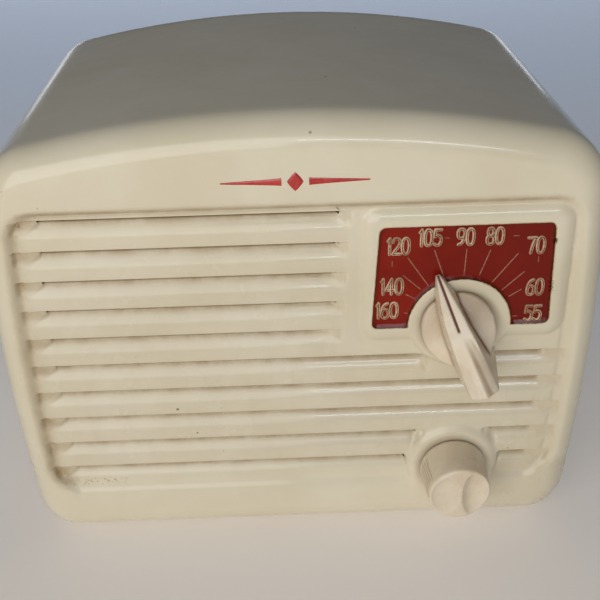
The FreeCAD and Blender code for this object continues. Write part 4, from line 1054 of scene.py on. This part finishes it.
def knob_grip(s, t, h):
    """The grip that runs across the base and sticks out as a pointer."""
    top = grip_top(s, t)
    down = np.clip(ridge(s) - h, 0, 40)
    right = np.interp(s, [TAIL, -4, 0.5, 6.7, 10.3, 14, TIP], [0.155, 0.07, 0.01, 0.02, 0.14, 0.1, 0.1])
    draft = np.where(t > 0, right, np.interp(s, [TAIL, 0.5, 6.7, TIP], [0.12, 0.13, 0.1, 0.15]))
    wall = (np.abs(t) - grip_half(s, t) - down * draft) * 0.97
    fin = soft_max(wall, (h - top) * 0.78, 0.35)
    fin = soft_max(fin, s - TIP - down * 0.05, 0.35)
    bulge = 0.3 * (1 - ((h - 12.0) / 12.0) ** 2)
    return soft_max(fin, TAIL - s - bulge, 0.35)


def pointer_knob(s, t, h):
    """s along the pointer, t across it to the right, h out of the cabinet."""
    body = soft_min(knob_base(s, t, h), knob_grip(s, t, h), 0.45)
    groove = np.hypot(t, (h - ridge(s)) * 0.82) - 0.36
    groove = np.maximum(groove, 3.7 - s)
    body = soft_max(body, -groove, 0.12)
    body = soft_max(body, KNOB_BACK - h, 0.4)
    bore = np.maximum(np.hypot(s, t) - BORE_R, h - POINTER_BORE)
    return np.maximum(body, -bore)


def round_knob(x, z, h):
    """The volume knob, with ribs left and right and two hollows in its face."""
    r = np.hypot(x, z)
    angle = np.arctan2(z, x)
    ribbed = step01((np.abs(np.cos(angle)) - RIB_SHARE) / 0.1)
    ribbed = ribbed * step01((13.6 - h) / 1.2) * step01((h - 3.2) / 1.0)
    side = r - (10.15 - 0.08 * (h - KNOB_BACK)) + ribbed * (0.06 - 0.13 * np.cos(angle * 56))
    knob = soft_max(side, h - VOLUME_RISE, 1.1)
    knob = soft_max(knob, KNOB_BACK - h, 0.35)
    left = np.sqrt(((x + 4.1) / 4.5) ** 2 + ((z + 0.5) / 6.6) ** 2 + ((h - 15.45) / 1.25) ** 2)
    knob = soft_max(knob, (1 - left) * 1.6, 0.25)
    wide = np.where(x < 4.1, 3.3, 5.6)
    right = np.sqrt(((x - 4.1) / wide) ** 2 + ((z + 0.2) / 8.0) ** 2 + ((h - 15.6) / 2.2) ** 2)
    knob = soft_max(knob, (1 - right) * 2.2, 0.45)
    bore = np.maximum(r - BORE_R, h - VOLUME_BORE)
    return np.maximum(knob, -bore)


def build_pointer(fine):
    low, high = (TAIL - 1, -10.5, KNOB_BACK), (TIP + 1, 10.5, TAIL_RISE)
    points, faces = surface_net(pointer_knob, low, high, fine)
    s, t, h = points.T
    ca, sa = math.cos(REST_ANGLE), math.sin(REST_ANGLE)
    placed = np.stack([TUNER[0] - s * sa + t * ca, -h, TUNER[1] + s * ca + t * sa], 1)
    # (s, t, h) is right-handed the other way round than (x, y, z)
    obj = make_piece("tuning_pointer", placed, [f[::-1] for f in faces], POINTER_IVORY, "tuner",
                     ("tuning_knob",))
    on_ridge = step01((h - ridge(s) + 0.9) / 0.3)
    point_attribute(obj, "line", step01((0.4 - np.abs(t)) / 0.14) * step01((s - 3.5) / 0.4) * on_ridge)
    # painted shade: darker in the crease where the grip meets the base, along the flute, at the knob's
    # foot, on the facets (more on the right and towards the tip) and on the grip's right wall
    over_base = knob_base(s, t, h) - knob_grip(s, t, h)
    crease_shade = bell(over_base, 0.5) * (h < ridge(s) - 0.8) * (0.6 + 0.4 * (t > 0))
    across = fluting(s, t)[1]
    flute_shade = bell(across - 1.35, 0.9) * step01((1.5 - s) / 6) * step01((h - ridge(s) + 4.6) / 0.8)
    foot_shade = bell(h - KNOB_BACK, 0.6) * 0.8
    facet = step01(-over_base / 0.6)
    along = step01((s + 4) / 9)
    shade = facet * mix(mix(0.0, 0.3, along), mix(0.12, 0.5, along), t > 0)
    right_wall_shade = (t > 0) * step01((t - grip_half(s, t) + 0.1) / 0.3) * (h < grip_top(s, t) - 0.3)
    shade = shade + 0.16 * right_wall_shade * (1 - facet)
    point_attribute(obj, "shade_and_dirt", np.clip(flute_shade * 0.55 + foot_shade + crease_shade + shade, 0, 1))


def build_volume(fine):
    points, faces = surface_net(round_knob, (-10.2, -10.2, KNOB_BACK), (10.2, 10.2, 15.4), fine)
    x, z, h = points.T
    placed = np.stack([VOLUME[0] + x, -h, VOLUME[1] + z], 1)
    obj = make_piece("volume_dial_knob", placed, [f[::-1] for f in faces], FINISHES["ivory_knob"],
                     "volume", ("volume_knob",))
    r = np.hypot(x, z)
    # painted shade: darker in the right hollow of the face, in the grooves between the side ribs and at the
    # knob's foot
    hollow_shade = 0.16 * bell(x - 2.4, 1.3) * step01((14.9 - h) / 1.0) * (h > 12) * (r < 8.5)
    low = 10.1 - 0.08 * (h - KNOB_BACK) - r
    ribs = 0.45 * step01((low + 0.03) / 0.16) * (r > 8.6) * (h < 13.6) * (h > 3)
    ribs = ribs * step01((np.abs(x) / np.maximum(r, 1e-6) - RIB_SHARE) / 0.1)
    point_attribute(obj, "shade_and_dirt", np.clip(hollow_shade + ribs + 0.9 * bell(h - KNOB_BACK, 0.7), 0, 1))


# ---- stage
def floor_finish():
    f = Finish("studio_floor", Specular_IOR_Level=0.25)
    far = f.span(f.axis("Y"), -0.15, 0.55)
    tone = f.span(f.noise(6, 3), 0.3, 0.7, -0.008, 0.008)
    colour = f.blend(far, (0.80, 0.745, 0.69), (0.62, 0.70, 0.83))
    shade = f.node("ShaderNodeHueSaturation", {"Color": colour, "Value": f.math("ADD", 1.0, tone)})
    f.set(Base_Color=shade.outputs[0], Roughness=f.span(f.noise(90, 3), 0.3, 0.7, 0.5, 0.6),
          Emission_Color=colour, Emission_Strength=0.215)
    return f.material


FLOOR_HALF = 4.0
WORLD_STRENGTH = 0.13


def area_light(name, place, target, size, power, colour, spread=180):
    light = bpy.data.lights.new(name, "AREA")
    light.shape = "RECTANGLE"
    light.size, light.size_y = size
    light.energy = power
    light.color = colour
    light.spread = math.radians(spread)
    obj = bpy.data.objects.new(name, light)
    obj.location = place
    obj.visible_camera = False
    obj.rotation_mode = "QUATERNION"
    obj.rotation_quaternion = (Vector(target) - Vector(place)).to_track_quat("-Z", "Y")
    bpy.context.scene.collection.objects.link(obj)


def build_stage():
    mesh = bpy.data.meshes.new("floor")
    w = FLOOR_HALF
    mesh.from_pydata([(-w, -w, 0), (w, -w, 0), (w, w, 0), (-w, w, 0)], [], [(0, 1, 2, 3)])
    floor = bpy.data.objects.new("floor", mesh)
    bpy.context.scene.collection.objects.link(floor)
    mesh.materials.append(floor_finish())

    area_light("key", (-0.34, -0.82, 0.38), (0.0, -0.05, 0.06), (0.8, 0.6), 4.6, (1.0, 0.97, 0.92))
    area_light("window", (0.28, -1.2, 0.60), (0.03, -0.05, 0.1), (0.5, 0.06), 1.5, (0.85, 0.92, 1.0))
    area_light("far", (0.0, 0.85, 0.8), (0.0, 0.85, 0.0), (1.2, 0.5), 0.42, (0.86, 0.93, 1.0), 75)
    area_light("behind", (0.0, 1.0, 0.055), (0.0, 0.07, 0.06), (1.0, 0.08), 0.26, (0.95, 0.97, 1.0))

    world = bpy.data.worlds.new("studio")
    bpy.context.scene.world = world
    world.use_nodes = True
    back = world.node_tree.nodes["Background"]
    back.inputs["Color"].default_value = (0.80, 0.86, 1.0, 1.0)
    back.inputs["Strength"].default_value = WORLD_STRENGTH


def build_camera():
    camera = bpy.data.cameras.new("camera")
    camera.sensor_width = 36.0
    camera.lens = 56.72
    camera.clip_start = 0.01
    camera.clip_end = 30.0
    obj = bpy.data.objects.new("camera", camera)
    turn = Euler([math.radians(a) for a in (-29.4636, 1.2109, -1.8800)], "XYZ").to_matrix().to_4x4()
    place = Matrix.Translation(Vector((-4.279, -276.846, 214.308)) * MM)
    obj.matrix_world = place @ turn @ Matrix.Rotation(math.radians(90), 4, "X")
    bpy.context.scene.collection.objects.link(obj)
    bpy.context.scene.camera = obj


build_camera()
build_stage()
build_cabinet()
build_figures()
build_ornament()
knob_step = 0.26
build_pointer(knob_step)
build_volume(knob_step)

bpy.context.scene.view_settings.view_transform = "Standard"
bpy.context.view_layer.update()
